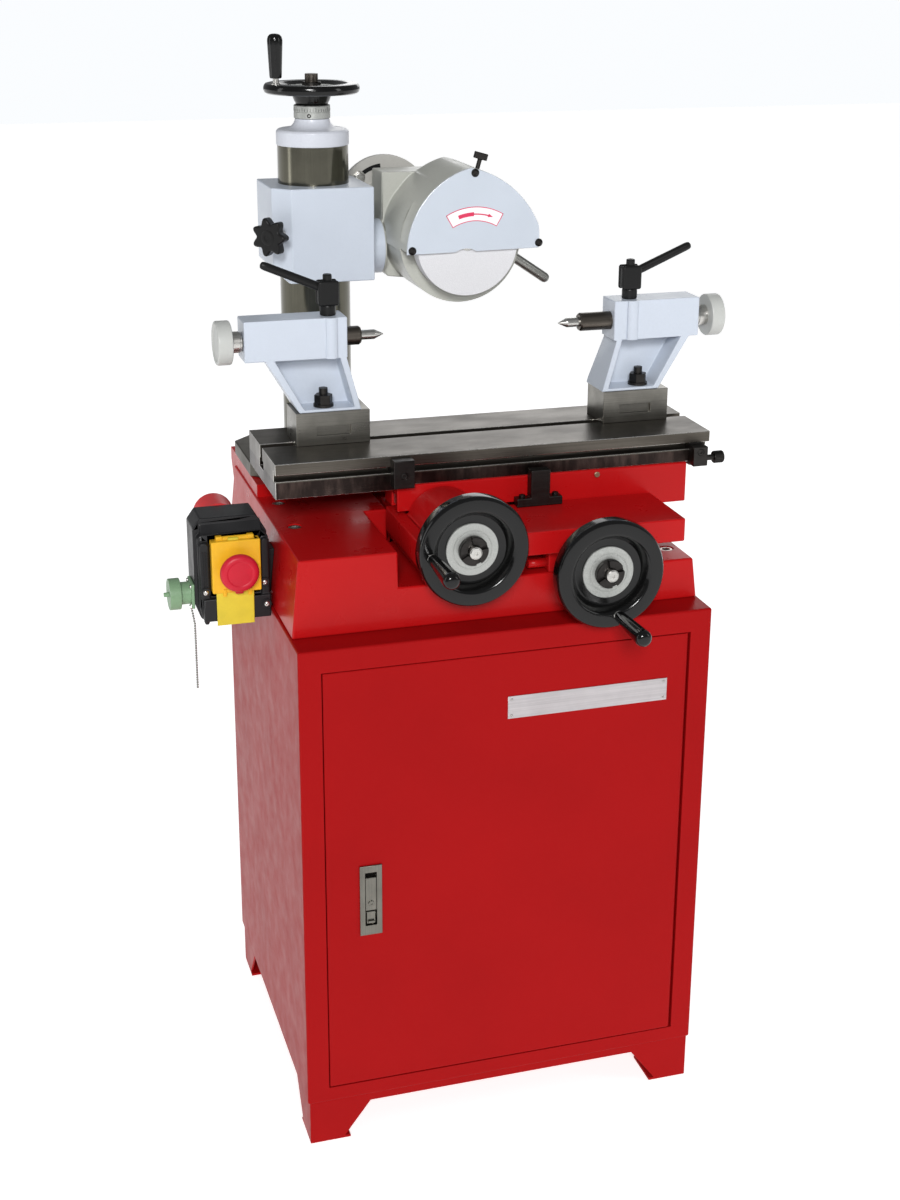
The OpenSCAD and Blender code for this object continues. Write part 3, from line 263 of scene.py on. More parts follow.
def make_finishes():
    paint("red_sheet", (0.31, 0.0042, 0.0050), 0.34, 0.0030, 0.00001, 0.0, 0.04, 0.06)
    paint("red_cast", (0.44, 0.0055, 0.0065), 0.30, 0.0060, 0.00006, 0.06, 0.10, 0.15)
    paint("grey_paint", (0.55, 0.60, 0.68), 0.34, 0.0035, 0.00008, coat=0.1, soil=0.12)
    paint("plate_paint", (0.53, 0.58, 0.65), 0.40, 0.0025, 0.00004, soil=0.1)
    paint("silver_paint", (0.47, 0.475, 0.43), 0.36, 0.0060, 0.00018, coat=0.15, soil=0.3)
    paint("motor_paint", (0.46, 0.45, 0.42), 0.42, 0.0040, 0.00010, soil=0.3)
    paint("cap_paint", (0.60, 0.62, 0.68), 0.33, 0.0050, 0.00010, coat=0.1, soil=0.3)
    paint("light_paint", (0.50, 0.51, 0.49), 0.38, 0.0040, 0.00008, soil=0.2)
    paint("black_gloss", (0.004, 0.004, 0.004), 0.14, 0.0080, 0.00003, 0.15, 0.1, 0.3)
    paint("black_satin", (0.010, 0.010, 0.010), 0.34, 0.0020, 0.00005, 0.0, 0.1, 0.22)
    paint("green_paint", (0.20, 0.33, 0.19), 0.40, 0.0020, 0.00008, soil=0.5)
    paint("label_white", (0.84, 0.84, 0.87), 0.45, 0.0010, 0.00001, soil=0.04)
    paint("label_red", (0.66, 0.03, 0.10), 0.42, 0.0010, 0.00001, soil=0.04)
    stained_table()
    # Bright steel for the table's rounded edges: partly wear, partly a painted highlight.
    ground_steel("edge_wear_and_highlight_steel", (0.66, 0.64, 0.60), 0.25, "X", 0.00001, 0.5, 0.02)
    ground_steel("bright_steel", (0.62, 0.61, 0.58), 0.26, "X", 0.00001, 0.2)
    ground_steel("rod_steel", (0.34, 0.34, 0.32), 0.40, "Z", 0.00002, 0.3)
    ground_steel("dark_steel", (0.12, 0.105, 0.09), 0.32, "X", 0.00001, 0.3, 0.02)
    ground_steel("column_steel", (0.125, 0.12, 0.095), 0.14, "Z", 0.000006, 0.3)
    ground_steel("key_steel", (0.24, 0.23, 0.205), 0.30, "X", 0.00001, 0.3, 0.03)
    ground_steel("foot_steel", (0.16, 0.15, 0.13), 0.42, "Y", 0.00003, 0.5)
    ground_steel("black_oxide", (0.045, 0.042, 0.040), 0.40, "X", 0.00002, 0.3, 0.01)
    ground_steel("gib_bronze", (0.42, 0.30, 0.20), 0.4, "Y", 0.00002, 0.4)
    ground_steel("latch_chrome", (0.20, 0.195, 0.17), 0.30, "Z", 0.00001, 0.25, 0.03)
    ground_steel("brushed_plate", (0.55, 0.52, 0.53), 0.38, "X", 0.00001, 0.15, 0.05)
    # Near-white metal for the guard plate's rounded edges: a painted highlight.
    ground_steel("painted_edge_highlight", (0.8, 0.82, 0.85), 0.3, "X", 0.00001, 0.2, 0.02)
    moulded("black_plastic", (0.014, 0.014, 0.015), 0.38)
    moulded("yellow_plastic", (0.80, 0.44, 0.02), 0.32)
    moulded("lemon_plastic", (0.66, 0.52, 0.04), 0.36)
    moulded("red_plastic", (0.52, 0.012, 0.03), 0.36)
    moulded("inlet_red", (0.70, 0.045, 0.05), 0.4)
    moulded("green_plastic", (0.03, 0.30, 0.08), 0.35)
    moulded("belt_rubber", (0.02, 0.02, 0.02), 0.7)
    f = Finish("turned_aluminium", Metallic=0.6)
    rings = f.noise(0.0016, 3, 0.6)
    f.set(Base_Color=f.ramp(rings, (0.3, (0.36, 0.37, 0.35)), (0.7, (0.50, 0.51, 0.49))),
          Roughness=f.level(rings, 0.3, 0.7, 0.38, 0.52))
    f.bump(rings, 0.00003)
    f = Finish("abrasive", IOR=1.4)
    grit = f.cells(0.0007)
    f.set(Base_Color=f.ramp(grit, (0.1, (0.56, 0.56, 0.58)), (0.6, (0.68, 0.68, 0.70))),
          Roughness=f.level(grit, 0.0, 1.0, 0.8, 0.95))
    f.bump(grit, 0.00015)
    f = Finish("floor", Specular_IOR_Level=0.1, Emission_Color=(1.0, 1.0, 1.0),
               Emission_Strength=0.6)
    patch = f.noise(0.6, 3, 0.5)
    f.set(Base_Color=f.ramp(patch, (0.3, (0.86, 0.86, 0.86)), (0.7, (0.88, 0.88, 0.88))),
          Roughness=f.level(patch, 0.3, 0.7, 0.75, 0.9))


NODE_FINISH = {
    "bright_steel": "cross_screw pinion_shaft rack spindle motor_rotor",
    "dark_steel": "lift_screw",
    "column_steel": "column_tube",
    "gib_bronze": "cross_nut saddle_gib",
    "red_plastic": "stop_button",
    "green_plastic": "start_button",
    "belt_rubber": "drive_belt",
}


def dress_nodes():
    """The nodes that stay as they are; the rest is replaced by finished pieces."""
    for finish, names in NODE_FINISH.items():
        for name in names.split():
            mesh = nodes[name].data
            mesh.materials.clear()
            mesh.materials.append(finishes[finish])


# ---------------------------------------------------------------- forms
# Turns a form so that its Z axis points to the front (-Y)
FRONT = Matrix.Rotation(pi / 2, 4, "X")


def at(x, y, z):
    return Matrix.Translation((x * MM, y * MM, z * MM))


def turn(degrees, axis):
    return Matrix.Rotation(radians(degrees), 4, axis)


def tidy(bm):
    bmesh.ops.remove_doubles(bm, verts=bm.verts, dist=2e-6)
    bmesh.ops.recalc_face_normals(bm, faces=bm.faces)
    return bm


def moved(bm, place):
    bmesh.ops.transform(bm, matrix=place, verts=bm.verts)
    return bm


def joined(*forms):
    whole = bmesh.new()
    for form in forms:
        mesh = bpy.data.meshes.new("form")
        form.to_mesh(mesh)
        form.free()
        whole.from_mesh(mesh)
        bpy.data.meshes.remove(mesh)
    return whole


def turned(outline, steps=64, angle=360):
    """A form turned about its Z axis from an outline of (radius, height) in millimetres."""
    bm = bmesh.new()
    points = [bm.verts.new((r * MM, 0, z * MM)) for r, z in outline]
    edges = [bm.edges.new(pair) for pair in zip(points, points[1:])]
    if outline[0][0] > 0:
        edges.append(bm.edges.new((points[-1], points[0])))
    bmesh.ops.spin(bm, geom=points + edges, cent=(0, 0, 0), axis=(0, 0, 1), dvec=(0, 0, 0),
                   angle=radians(angle), steps=steps, use_merge=angle == 360)
    if angle < 360:
        bmesh.ops.holes_fill(bm, edges=[e for e in bm.edges if e.is_boundary], sides=0)
    return tidy(bm)


def slab(outline, depth):
    """A plate of that outline on its XY plane, in millimetres."""
    bm = bmesh.new()
    face = bm.faces.new([bm.verts.new((x * MM, y * MM, 0)) for x, y in outline])
    grown = bmesh.ops.extrude_face_region(bm, geom=[face])["geom"]
    tops = [v for v in grown if isinstance(v, bmesh.types.BMVert)]
    bmesh.ops.translate(bm, vec=(0, 0, depth * MM), verts=tops)
    return tidy(bm)


def block(x0, x1, y0, y1, z0, z1):
    bm = bmesh.new()
    bmesh.ops.create_cube(bm, size=MM)
    bmesh.ops.scale(bm, vec=(x1 - x0, y1 - y0, z1 - z0), verts=bm.verts)
    return moved(bm, at((x0 + x1) / 2, (y0 + y1) / 2, (z0 + z1) / 2))


def eased(bm, width, segments=2, angle=30, shortest=0.0, where=None):
    """Rounds the hard edges; the rounded faces carry the tag that finds the edges painted bright,
    partly for wear and partly as painted highlight.
    """
    edges = [e for e in bm.edges
             if len(e.link_faces) == 2 and e.calc_face_angle(0) > radians(angle)
             and e.calc_length() >= shortest * MM
             and (where is None or where(*((e.verts[0].co + e.verts[1].co) / 2 / MM)))]
    made = bmesh.ops.bevel(bm, geom=edges, offset=width * MM, offset_type="OFFSET",
                           segments=segments, profile=0.5, affect="EDGES",
                           clamp_overlap=False, material=-1)
    for face in made["faces"]:
        face.tag = True
    return bm


def piece(name, bm, finish, body, *stands_for, edge_wear_and_highlight=None, second=None, rule=None):
    """Makes a piece: its finish, the body it rides on, and the nodes that it stands for."""
    # Tagged rounded faces take the second finish, a bright edge colour that paints wear and
    # highlight.
    for face in bm.faces:
        if edge_wear_and_highlight and face.tag:
            face.material_index = 1
        elif second and rule(*(face.calc_center_median() / MM)):
            face.material_index = 1
    mesh = bpy.data.meshes.new(name)
    bm.to_mesh(mesh)
    bm.free()
    mesh.shade_smooth()
    mesh.set_sharp_from_angle(angle=radians(33))
    for f in (finish, edge_wear_and_highlight or second):
        if f:
            mesh.materials.append(finishes[f])
    obj = bpy.data.objects.new(name, mesh)
    bpy.context.collection.objects.link(obj)
    even = obj.modifiers.new("even_shading", "WEIGHTED_NORMAL")
    even.keep_sharp = True
    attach(obj, body)
    if stands_for:
        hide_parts(*stands_for)
    return obj


def softened(node, body, width, finish, name=None, segments=2, shortest=None, where=None,
             edge_wear_and_highlight=None, second=None, rule=None):
    """The node's own solid with its hard edges rounded."""
    bm = bmesh.new()
    bm.from_mesh(nodes[node].data)
    bmesh.ops.remove_doubles(bm, verts=bm.verts, dist=5e-6)
    bmesh.ops.dissolve_limit(bm, angle_limit=radians(0.4), use_dissolve_boundaries=False,
                             verts=bm.verts, edges=bm.edges, delimit=set())
    eased(bm, width, segments, 28, width * 2.2 if shortest is None else shortest, where)
    return piece(name or node + "_finished", bm, finish, body, node, edge_wear_and_highlight=edge_wear_and_highlight,
                 second=second, rule=rule)


def screw_head(r, h, socket, dome=0.0):
    """A round head with a drive recess, its seat at the origin."""
    return turned([(0, h - socket * 0.7), (socket, h - socket * 0.6), (socket, h - 0.1),
                   (socket + 0.4, h), (r * 0.6, h - dome * 0.3), (r * 0.9, h - dome * 0.8 - 0.2),
                   (r, h - dome - 0.7), (r, 0.2), (r - 0.2, 0), (0, 0)], 32)


def hex_head(r, h):
    bm = bmesh.new()
    bmesh.ops.create_cone(bm, cap_ends=True, segments=6, radius1=r * MM, radius2=r * MM,
                          depth=h * MM)
    return eased(moved(bm, at(0, 0, h / 2)), 0.7, 2)


# ---------------------------------------------------------------- hanging chain
def bead_chain():
    """A small-bead chain: one bead after another, with their links between them."""
    bead_r, link_r, pitch = 1.6, 0.5, 3.5
    route = [Vector(p) for p in CHAIN]
    length = sum((b - a).length for a, b in zip(route, route[1:]))
    bm = bmesh.new()
    gone, leg, spot = 0.0, 0, 1.2
    while spot < length - 0.6:
        while gone + (route[leg + 1] - route[leg]).length < spot:
            gone += (route[leg + 1] - route[leg]).length
            leg += 1
        way = route[leg + 1] - route[leg]
        here = route[leg] + way.normalized() * (spot - gone)
        bead = bmesh.ops.create_icosphere(bm, subdivisions=2, radius=bead_r * MM)["verts"]
        bmesh.ops.translate(bm, vec=here * MM, verts=bead)
        link = bmesh.ops.create_cone(bm, cap_ends=True, segments=6, radius1=link_r * MM,
                                     radius2=link_r * MM, depth=3.4 * MM)["verts"]
        along = way.to_track_quat("Z", "Y").to_matrix().to_4x4()
        bmesh.ops.transform(bm, matrix=at(*here) @ along, verts=link)
        spot += pitch
    chain = piece("hanging_chain", bm, "rod_steel", "base", "bead_chain")


# ---------------------------------------------------------------- cabinet
def cabinet():
    """The sheet-steel cabinet: folded shell, skirt, door, latch and plate."""
    def fold(x, y, z):
        at_side, at_front, at_end = abs(x) > 279.5, abs(y) > 244.5, z < 65.5 or z > 724.5
        return at_side + at_front + at_end > 1
    softened("cabinet_shell", "base", 3.0, "red_sheet", where=fold, segments=4)
    softened("cabinet_feet", "base", 0.9, "red_sheet", shortest=8)
    softened("cabinet_door", "door", 1.4, "red_sheet", shortest=12, segments=3)
    softened("latch_plate", "door", 0.7, "latch_chrome", shortest=5, segments=3)
    paddle = joined(
        eased(block(-197.5, -182.5, -247.8, -244, 351, 399.5), 1.2, 3),
        eased(block(-196, -184, -246.6, -242.4, 331, 349), 1.0, 3),
        eased(block(-194.5, -185.5, -249.6, -246.8, 333, 336.5), 0.8, 2))
    key = moved(turned([(0, 0), (0, 2.0), (1.4, 2.0), (1.6, 2.6), (3.4, 2.6), (3.9, 2.1),
                        (3.9, 0)], 32), at(-190, -246.8, 362) @ FRONT)
    piece("latch_press_plate", joined(paddle, key), "latch_chrome", "latch", "latch_paddle")
    softened("nameplate", "door", 0.35, "brushed_plate", shortest=3)
    rivets = [moved(screw_head(1.7, 0.9, 0.5, 0.5), at(x, -246, z) @ FRONT)
              for x in (1, 214) for z in (606, 628.5)]
    piece("plate_rivets", joined(*rivets), "bright_steel", "door")


# ---------------------------------------------------------------- handwheels
def crank_grip(name, place, length, root, end, body, node):
    """A tapered grip that revolves on its pin: slim root, full domed end."""
    outline = [(4.1, 0), (root - 1.2, 0), (root - 0.3, 0.9), (root, 2.4)]
    outline += [(root + (end - root) * s, 2.4 + (length - 12) * s) for s in (0.3, 0.6, 0.85, 1)]
    outline += [(end - 0.3, length - 6.4), (end - 1.3, length - 3.4), (end - 3.4, length - 1.2),
                (end - 6, length - 0.3), (0, length)]
    bm = turned(outline + [(0, length - 6), (4.1, length - 6)], 48)
    piece(name, moved(bm, place), "black_gloss", body, node)


def handwheel(kind, place, r, tube, t, shaft, angle, pin_r, hub_l, grip):
    """A dished handwheel: glossy rim and web, turned hub disc, slotted nut, crank pin.

    r and t are the rim's radius and depth, tube the web's height, and hub_l the hub's
    length behind it. The crank pin stands at pin_r, turned by angle. grip gives where the
    grip starts, its length, and its radius at both ends.
    """
    name = body = kind + "_feed"
    rim = turned([(shaft + 0.1, -hub_l), (21.4, -hub_l), (22.2, -hub_l + 0.8), (23, 3 - hub_l),
                  (24.5, 5.5 - hub_l), (28, tube - 6.4), (34, tube - 5.4), (r - 15, tube - 5),
                  (r - 12.4, tube - 6), (r - 11, 1.2), (r - 9.6, 0.2), (r - 8, 0), (r - 3.6, 0.5),
                  (r - 1.1, 2.2), (r, 5), (r, t - 6), (r - 0.7, t - 3), (r - 2.4, t - 0.8),
                  (r - 5, t), (r - 16.5, t), (r - 18.6, t - 0.5), (r - 20.4, t - 2),
                  (r - 23.6, (t + tube) / 2 + 0.4), (r - 27.6, tube + 1.4), (r - 30, tube + 0.6),
                  (34.6, tube + 0.4), (34.6, tube - 2), (shaft + 0.1, tube - 2)], 128)
    piece(name + "_wheel", moved(rim, place), "black_gloss", body, kind + "_handwheel")
    disc = turned([(shaft + 0.1, tube - 1.9), (34.4, tube - 1.9), (34.5, tube + 2.4),
                   (33.9, tube + 3), (26, tube + 3.1), (25.6, tube + 2.6), (24.8, tube + 2.6),
                   (24.4, tube + 3.1), (16.5, tube + 3.3), (16.2, tube + 3.9), (15.4, tube + 4.2),
                   (shaft + 0.1, tube + 4.2)], 96)
    piece(name + "_disc", moved(disc, place), "turned_aluminium", body)
    nut, top = (19, tube + 12) if t > 20 else (13, tube + 8.4)
    lugs = [moved(turned([(shaft + 0.4, tube + 7), (nut - 0.4, tube + 7), (nut, tube + 7.4),
                          (nut, top - 1), (nut - 0.8, top), (shaft + 1.2, top),
                          (shaft + 0.4, top - 0.6)], 14, 68), turn(a + 11, "Z"))
            for a in (0, 90, 180, 270)]
    ring = turned([(shaft + 0.1, tube + 4.3), (nut, tube + 4.3), (nut, tube + 7.2),
                   (shaft + 0.1, tube + 7.2)], 56)
    piece(name + "_nut", moved(joined(ring, *lugs), place @ turn(20, "Z")), "black_oxide", body)
    spot = place @ turn(angle, "Z") @ at(pin_r, 0, 0)
    z0, length, root, end = grip
    pin = turned([(0, tube), (4, tube), (4, z0 + 20), (3.6, z0 + length - 8),
                  (0, z0 + length - 8)], 32)
    collar = turned([(4.05, t - 0.4), (6.4, t - 0.4), (6.4, t + 1), (5.9, t + 1.6),
                     (4.05, t + 1.6)], 32)
    piece(name + "_pin", moved(joined(pin, collar), spot), "bright_steel", body)
    crank_grip(name + "_knob", spot @ at(0, 0, z0), length, root, end, kind + "_handle",
               kind + "_grip")


def handwheels():
    front_grip = (27, 86, 7.4, 11)
    handwheel("cross", at(*CROSS_WHEEL) @ FRONT, 72.5, 8.5, 24, 8, 281, 56, 3.5, front_grip)
    handwheel("table", at(*TABLE_WHEEL) @ FRONT, 72.5, 8.5, 24, 8, 183, 56, 3.5, front_grip)
    handwheel("lift", at(*COLUMN, 1364), 65.5, 7, 14, 9, 200, 56.5, 14.7, (22, 58, 8.3, 10.3))
    end = 28.4
    for kind, place in (("cross", CROSS_WHEEL), ("table", TABLE_WHEEL)):
        tip = turned([(0, end - 2.6), (1.2, end - 2.6), (2.4, end - 0.5), (6.6, end - 0.5),
                      (7.9, end - 1.6), (7.9, end - 4), (0, end - 4)], 40)
        piece(kind + "_shaft_end", moved(tip, at(*place) @ FRONT), "bright_steel",
              kind + "_feed")


# ---------------------------------------------------------------- base, saddle and table
def ways():
    """Base, saddle and table. The rounding stays off the seat of the column foot, and off
    the pocket that the pinion runs in."""
    softened("base_casting", "base", 2.6, "red_cast", segments=3, shortest=6,
             where=lambda x, y, z: z < 740 or abs(x + 153) > 125 or y < 75)
    softened("saddle", "saddle", 2.2, "red_cast", segments=3, shortest=4.5)
    softened("table_slide", "table", 1.8, "red_cast", segments=3, shortest=6,
             where=lambda x, y, z: z > 857 or x > 117)
    softened("cross_bracket", "base", 1.2, "red_cast", shortest=1.0)
    softened("base_bolts", "base", 0.8, "bright_steel", shortest=0.8)
    # The table's rounded edges are painted bright: partly wear, partly painted highlight.
    softened("work_table", "table", 0.7, "table_steel", shortest=5, edge_wear_and_highlight="edge_wear_and_highlight_steel")
    softened("stop_dog", "saddle", 1.4, "black_oxide", segments=3, shortest=4)
    softened("table_stops", "table", 0.8, "black_oxide", shortest=4)
    softened("stop_thumb_screw", "stop_screw", 0.6, "black_oxide", shortest=0.5)
    knurls = [moved(block(-6, 6, 7.5, 8.5, -0.55, 0.55), turn(a, "X")) for a in range(0, 360, 20)]
    piece("stop_screw_knurl", moved(joined(*knurls), at(343, -106, 890)), "black_oxide",
          "stop_screw")
    for x, z in ((-106, 901), (313.5, 901)):
        head = moved(screw_head(4.6, 5.5, 2.4), at(x, -109.6, z) @ FRONT)
        piece("stop_bolt_%d" % abs(x), head, "black_oxide", "table")
    dog = [moved(screw_head(4.2, 4, 2.0), at(x, -112, 858)) for x in (57, 104)]
    piece("stop_dog_bolts", joined(*dog), "black_oxide", "saddle")
    oiler = turned([(0, 1.1), (1, 1.1), (1.2, 1.8), (3.2, 1.8), (4, 1.2), (4, 0), (0, 0)], 32)
    piece("slide_oiler", moved(oiler, at(168, -100, 877) @ FRONT), "gib_bronze", "table")


# ---------------------------------------------------------------- tailstocks
def tailstock(side, nut, way, front, tip, disc, neck, key, sleeve_back):
    """One tailstock: way is +1 where its point looks right, and the lengths that follow
    run along its axis from x = nut."""
    axis = at(nut, CENTRES_Y, CENTRES_Z) @ turn(90 * way, "Y")
    softened(side + "_tailstock", side + "_tail", 1.8, "grey_paint", segments=3, shortest=5)
    softened(side + "_key_block", side + "_tail", 0.6, "key_steel", shortest=4,
             second="black_oxide",
             rule=lambda px, py, pz: pz > 972 or pz < 907)
    sleeve = turned([(5.2, sleeve_back), (12.3, sleeve_back), (12.5, sleeve_back + 0.6),
                     (12.5, front - 2.4), (10.8, front), (6.6, front), (6.6, front - 1.5),
                     (5.2, front - 2)], 56)
    piece(side + "_sleeve", moved(sleeve, axis), "dark_steel", side + "_point",
          side + "_centre")
    point = turned([(0, front - 20), (6.5, front - 20), (6.5, tip - 13), (6.1, tip - 12),
                    (0.5, tip - 0.3), (0, tip)], 48)
    piece(side + "_point", moved(point, axis), "bright_steel", side + "_point")
    knob = turned([(0, disc + 1.6), (22, disc + 1.6), (23.5, disc + 0.4), (26.4, disc),
                   (28.2, disc + 0.9), (29, disc + 2.6), (29, disc + 17.6), (28.2, disc + 19.2),
                   (26.4, disc + 20), (12, disc + 20), (0, disc + 20)], 72)
    piece(side + "_wheel_knob", moved(knob, axis), "light_paint", side + "_screw",
          side + "_knob")
    stem = turned([(0, disc + 19), (14, disc + 19), (14, neck - 3), (13.2, neck - 2.4),
                   (13.2, neck - 0.4), (12.8, neck), (5, neck), (5, -36), (0, -36)], 48)
    piece(side + "_knob_stem", moved(stem, axis), "bright_steel", side + "_screw")
    hub, z = nut + way * key, 1096.3
    post = turned([(0, -16.5), (5, -16.5), (5, 0), (9.4, 0), (10.2, 0.7), (10.5, 1.8),
                   (10.5, 11.6), (9.8, 13.2), (8.4, 14), (0, 14)], 48)
    fork = [eased(block(-14, 14, y, y + 6.4, 13, 46), 3.4, 4) for y in (-10, 3.6)]
    web = eased(block(-13, 12, -4, 4, 14, 44), 2.5, 3)
    cap = turned([(0, 40), (6, 40), (6, 52.6), (5, 54), (2.6, 54), (2.4, 51.5), (0, 51.5)], 32)
    arm = turned([(0, 0), (5.8, 0), (5.5, 88), (5.2, 91.6), (4.2, 94), (2.4, 95), (0, 95)], 40)
    arm = moved(arm, at(0, 0, 33) @ turn(-67 * way, "Y"))
    lever = joined(post, *fork, web, cap, arm)
    piece(side + "_clamp_lever", moved(lever, at(hub - way, CENTRES_Y, z)), "black_satin",
          side + "_clamp", side + "_lever")


def tailstocks():
    tailstock("left", -193, 1, 57, 89, -136, -102, 15, -94)
    tailstock("right", 257, -1, 85, 115, -123, -88, 12, -66)


# ---------------------------------------------------------------- column and head block
def column():
    softened("column_foot", "base", 1.6, "foot_steel", shortest=6)
    cap = turned([(9.3, -12), (38, -12), (38, -0.4), (49.2, -0.4), (50, 0.6), (50, 16.8),
                  (49.4, 18.4), (47.6, 20.4), (46, 21), (39, 21.2), (33, 22.4), (28.6, 24.8),
                  (25.6, 28.4), (24, 32), (23.4, 34.6), (9.3, 34.6)], 96)
    piece("column_cap_casting", moved(cap, at(*COLUMN, 1296)), "cap_paint", "column",
          "column_cap")
    collar = turned([(9.3, 35), (24.2, 35), (25, 35.8), (25, 43.4), (24.5, 43.8), (24.5, 44.4),
                     (25, 44.8), (25, 52), (24, 53), (9.3, 53)], 96)
    piece("scale_collar", moved(collar, at(*COLUMN, 1296)), "turned_aluminium", "column")
    ticks = [moved(block(-0.28, 0.28, -25.12, -24.6, 44.9, 48.4 if a % 45 else 50.4),
                   turn(a, "Z")) for a in range(0, 360, 9)]
    piece("collar_marks", moved(joined(*ticks), at(*COLUMN, 1296)), "black_oxide", "column")
    grub = moved(turned([(0, -1.2), (1.3, -1.2), (1.3, 0), (2.6, 0), (2.9, -0.5), (2.9, -3),
                         (0, -3)], 24),
                 at(*COLUMN, 1335.5) @ turn(-22, "Z") @ at(0, -25.2, 0) @ FRONT)
    piece("collar_grub_screw", grub, "black_oxide", "column")


def head_block():
    softened("head_block", "head", 1.8, "grey_paint", segments=3, shortest=4)
    spot = at(-210.5, 126.5, 1183) @ turn(-45, "Z") @ FRONT
    star = bmesh.new()
    bmesh.ops.create_circle(star, cap_ends=True, segments=140, radius=MM)
    for v in star.verts:
        lobe = cos(7 * v.co.to_2d().angle_signed(Vector((1, 0)), 0))
        v.co = v.co * (22.6 + 3.8 * lobe)
    face = star.faces[:]
    grown = bmesh.ops.extrude_face_region(star, geom=face)["geom"]
    bmesh.ops.translate(star, vec=(0, 0, 15 * MM),
                        verts=[v for v in grown if isinstance(v, bmesh.types.BMVert)])
    eased(tidy(star), 3.2, 4, 60)
    boss = turned([(0, 13.4), (4.2, 13.4), (4.6, 15.4), (8.4, 15.8), (10.2, 15.2), (10.8, 14),
                   (10.8, 12), (0, 12)], 40)
    knob = joined(moved(joined(star, boss), at(0, 0, 21)),
                  turned([(0, 14), (11.4, 14), (12, 14.8), (12, 20), (14, 22), (0, 22)], 40))
    piece("star_knob_moulding", moved(knob, spot), "black_satin", "head_clamp", "star_knob")
    stud = turned([(0, -14), (5.6, -14), (6, -13.4), (6, 14.2), (0, 14.2)], 32)
    piece("star_knob_stud", moved(stud, spot), "bright_steel", "head_clamp")


# ---------------------------------------------------------------- wheelhead
def band(r0, r1, a0, a1, depth, steps=32):
    """A flat arc of that width, turned from one short edge, then given its thickness."""
    bm = bmesh.new()
    ends = [bm.verts.new((cos(radians(a0)) * r * MM, sin(radians(a0)) * r * MM, 0))
            for r in (r0, r1)]
    edge = bm.edges.new(ends)
    bmesh.ops.spin(bm, geom=ends + [edge], cent=(0, 0, 0), axis=(0, 0, 1), dvec=(0, 0, 0),
                   angle=radians(a1 - a0), steps=steps, use_merge=False)
    tidy(bm)
    grown = bmesh.ops.extrude_face_region(bm, geom=bm.faces[:])["geom"]
    bmesh.ops.translate(bm, vec=(0, 0, depth * MM),
                        verts=[v for v in grown if isinstance(v, bmesh.types.BMVert)])
    return tidy(bm)


def wheelhead():
    softened("wheelhead_housing", "wheelhead", 2.2, "silver_paint", segments=3, shortest=4,
             where=lambda x, y, z: y > 168 and not (abs(x - 28) < 24 and abs(z - 1173) < 24))
    # The guard plate's rounded edges are painted near white, as a painted highlight along them.
    softened("guard_plate", "wheelhead", 0.5, "plate_paint", shortest=1.2, edge_wear_and_highlight="painted_edge_highlight")
    face = at(*GUARD_FACE) @ FRONT
    piece("turning_label", moved(band(61, 80, 60, 120, 0.2), face), "label_white", "wheelhead")
    red = joined(band(79.2, 80.2, 59.6, 120.4, 0.3), band(60.8, 61.8, 59.6, 120.4, 0.3),
                 band(61, 80, 59.5, 60.3, 0.3, 2), band(61, 80, 119.7, 120.5, 0.3, 2))
    piece("turning_label_rim", moved(red, face), "label_red", "wheelhead")
    tail = band(67.6, 72.8, 91, 109, 0.34, 12)
    shaft = band(69.3, 71.0, 74.4, 91.4, 0.34, 12)
    head = moved(slab([(-2.3, 0), (4.6, 2.4), (4.6, -2.4)], 0.34),
                 turn(70.6, "Z") @ at(70.2, 0, 0) @ turn(90, "Z"))
    piece("turning_arrow", moved(joined(tail, shaft, head), face), "label_red", "wheelhead")
    screws = [moved(screw_head(5.5, 3.6, 2.2, 2.2), at(*place) @ FRONT)
              for place in GUARD_SCREWS]
    stems = [moved(turned([(0, -15), (2.4, -15), (2.4, 0), (0, 0)], 20), at(*place) @ FRONT)
             for place in GUARD_SCREWS]
    piece("guard_button_screws", joined(*screws, *stems), "black_oxide", "wheelhead",
          "guard_screws")
    softened("guard_thumb_screw", "guard_clamp", 0.9, "black_oxide", shortest=0.2)
    rod = turned([(0, 0), (6.8, 0), (7, 0.4), (7, 73), (6.6, 75.6), (5.4, 78), (3.2, 79.6),
                  (0, 80)], 40)
    piece("head_swing_rod", moved(rod, at(96, 95, 1153) @ turn(124, "Y")), "rod_steel",
          "wheelhead", "head_handle")
    softened("grinding_wheel", "wheel", 0.7, "abrasive", shortest=0.5)
    # A thin black arc on the flange face: painted shade standing in for the dark hollow of its
    # slot.
    arc = band(50, 56, 96, 158, 0.25, 24)
    piece("flange_slot_shade", moved(arc, at(MOTOR_X, 248, MOTOR_Z) @ FRONT), "black_satin", "wheelhead")
    nut = joined(turned([(0, 0), (9, 0), (9, 1.6), (0, 1.6)], 32),
                 moved(hex_head(7.2, 6), at(0, 0, 1.6)))
    piece("flange_bolt", moved(nut, at(-72.5, 247.8, 1240.5) @ FRONT), "bright_steel", "wheelhead")


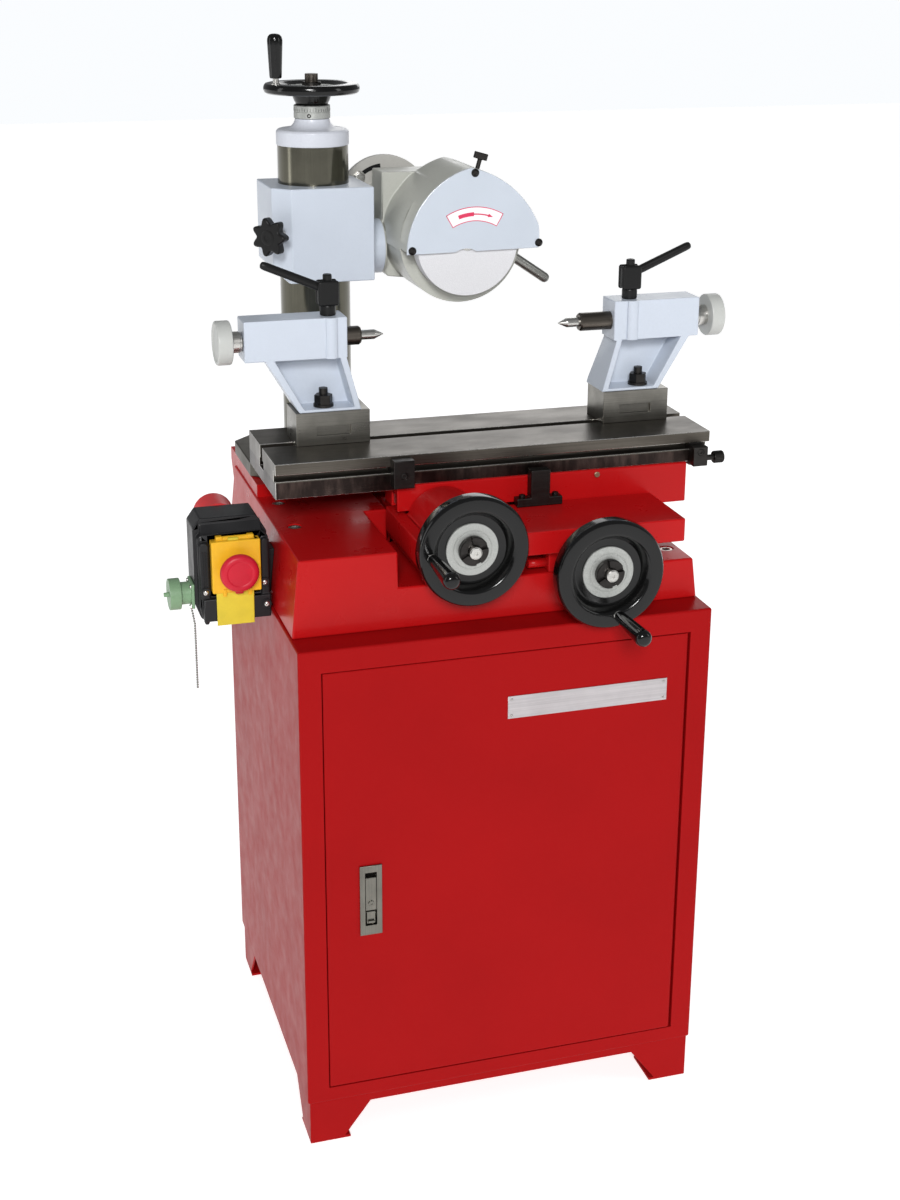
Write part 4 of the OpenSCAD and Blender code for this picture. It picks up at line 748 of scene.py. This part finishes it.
def motor():
    """The flat motor behind the head: flange, shell, and thin black bands on its cap, painted
    shade for its air slots.
    """
    spot = at(MOTOR_X, 0, MOTOR_Z) @ turn(-90, "X")
    shell = turned([(8.3, 248), (67.2, 248), (68, 248.8), (68, 257.2), (67.2, 258), (52, 258),
                    (50, 260), (50, 274), (49.4, 274.6), (49.4, 275.6), (50, 276.2), (50, 290),
                    (48.8, 292.8), (46, 294), (0, 294), (0, 287.4), (40.4, 287.4), (40.4, 262),
                    (8.3, 262)], 96)
    piece("motor_shell", moved(shell, spot), "motor_paint", "wheelhead", "motor_body")
    # Each air slot is a thin black band on the cap: painted shade standing in for its dark hollow.
    slots = [band(r, r + 3.4, a + 4, a + 41, 0.3, 10) for r in (16, 24, 32, 40)
             for a in range(0, 360, 45)]
    piece("cap_slot_shade", moved(joined(*slots), spot @ at(0, 0, 293.85)), "black_satin",
          "wheelhead")
    bolts = [moved(screw_head(3.4, 3, 1.6), turn(a, "Z") @ at(59, 0, 257.8))
             for a in (45, 135, 225, 315)]
    piece("flange_screws", moved(joined(*bolts), spot), "black_oxide", "wheelhead")


# ---------------------------------------------------------------- switch
def switch():
    """The switch unit: housing, yellow cover, red mushroom, capped socket and inlet."""
    softened("switch_housing", "base", 1.8, "black_plastic", segments=3, shortest=4)
    ribs = [eased(block(x, x + 1.5, -86.4, -84, 764, 812), 0.5, 2)
            for x in (-369.4, -366.6, -363.8)]
    lugs = [moved(turned([(0, 0), (6.5, 0), (6.5, 1.6), (5.8, 2.4), (0, 2.4)], 32),
                  at(x, y, z) @ FRONT) for x, y, z in SWITCH_SCREWS]
    foot = turned([(0, 0), (4, 0), (4, 4), (2.4, 8), (0, 8)], 24)
    lugs.append(moved(foot, at(-364, -74, 716.5) @ turn(180, "X")))
    piece("switch_ribs", joined(*ribs, *lugs), "black_plastic", "base")
    heads = [moved(screw_head(3.6, 2.2, 1.3, 0.8), at(x, y - 2, z) @ FRONT)
             for x, y, z in SWITCH_SCREWS]
    piece("switch_screws", joined(*heads), "bright_steel", "base")
    softened("switch_cover", "cover", 1.6, "yellow_plastic", segments=3, shortest=3,
             second="lemon_plastic", rule=lambda x, y, z: z < 756)
    ears = [eased(block(x, x + 9, -88, -79.5, 823, 832), 1.6, 3) for x in (-351, -310)]
    ears += [eased(block(x, x + 5, -95.6, -92, 752, 762), 1.0, 2) for x in (-345, -312)]
    piece("cover_ears", joined(*ears), "yellow_plastic", "cover")
    piece("cover_latch", eased(block(-336, -321, -90, -79.5, 822, 830), 2.2, 3),
          "lemon_plastic", "cover")
    head = turned([(0, 4.3), (8, 4.3), (8, 19), (17, 19), (18, 20), (18, 25.6), (23.2, 25.6),
                   (24.9, 26.4), (25.5, 28), (25.2, 31), (23.9, 33.6), (21.4, 35.2), (18.6, 35.7),
                   (16.9, 35.4), (16, 34.8), (9, 35.3), (0, 35.6)], 72)
    hook = eased(block(-5.5, 5.5, -30, -20, 18.5, 26), 2.0, 3)
    piece("stop_mushroom", moved(joined(head, hook), at(-325, -80, 788) @ FRONT), "red_plastic",
          "mushroom", "switch_mushroom")
    softened("chain_socket", "base", 1.0, "green_paint", shortest=0.8)
    fixings = [moved(screw_head(2.8, 2.2, 0.9, 0.5), at(-382, y, z) @ turn(-90, "Y"))
               for y in (-64, -36) for z in (733, 759)]
    eye = turned([(1.6, -0.9), (3.4, -0.9), (3.4, 0.9), (1.6, 0.9)], 24)
    fixings.append(moved(eye, at(-383.4, -64, 731) @ turn(70, "Y")))
    piece("socket_screws", joined(*fixings), "bright_steel", "base")
    softened("power_inlet", "base", 1.2, "inlet_red", shortest=2)


camera()
make_finishes()
studio()
dress_nodes()
bead_chain()
cabinet()
handwheels()
ways()
tailstocks()
column()
head_block()
wheelhead()
motor()
switch()
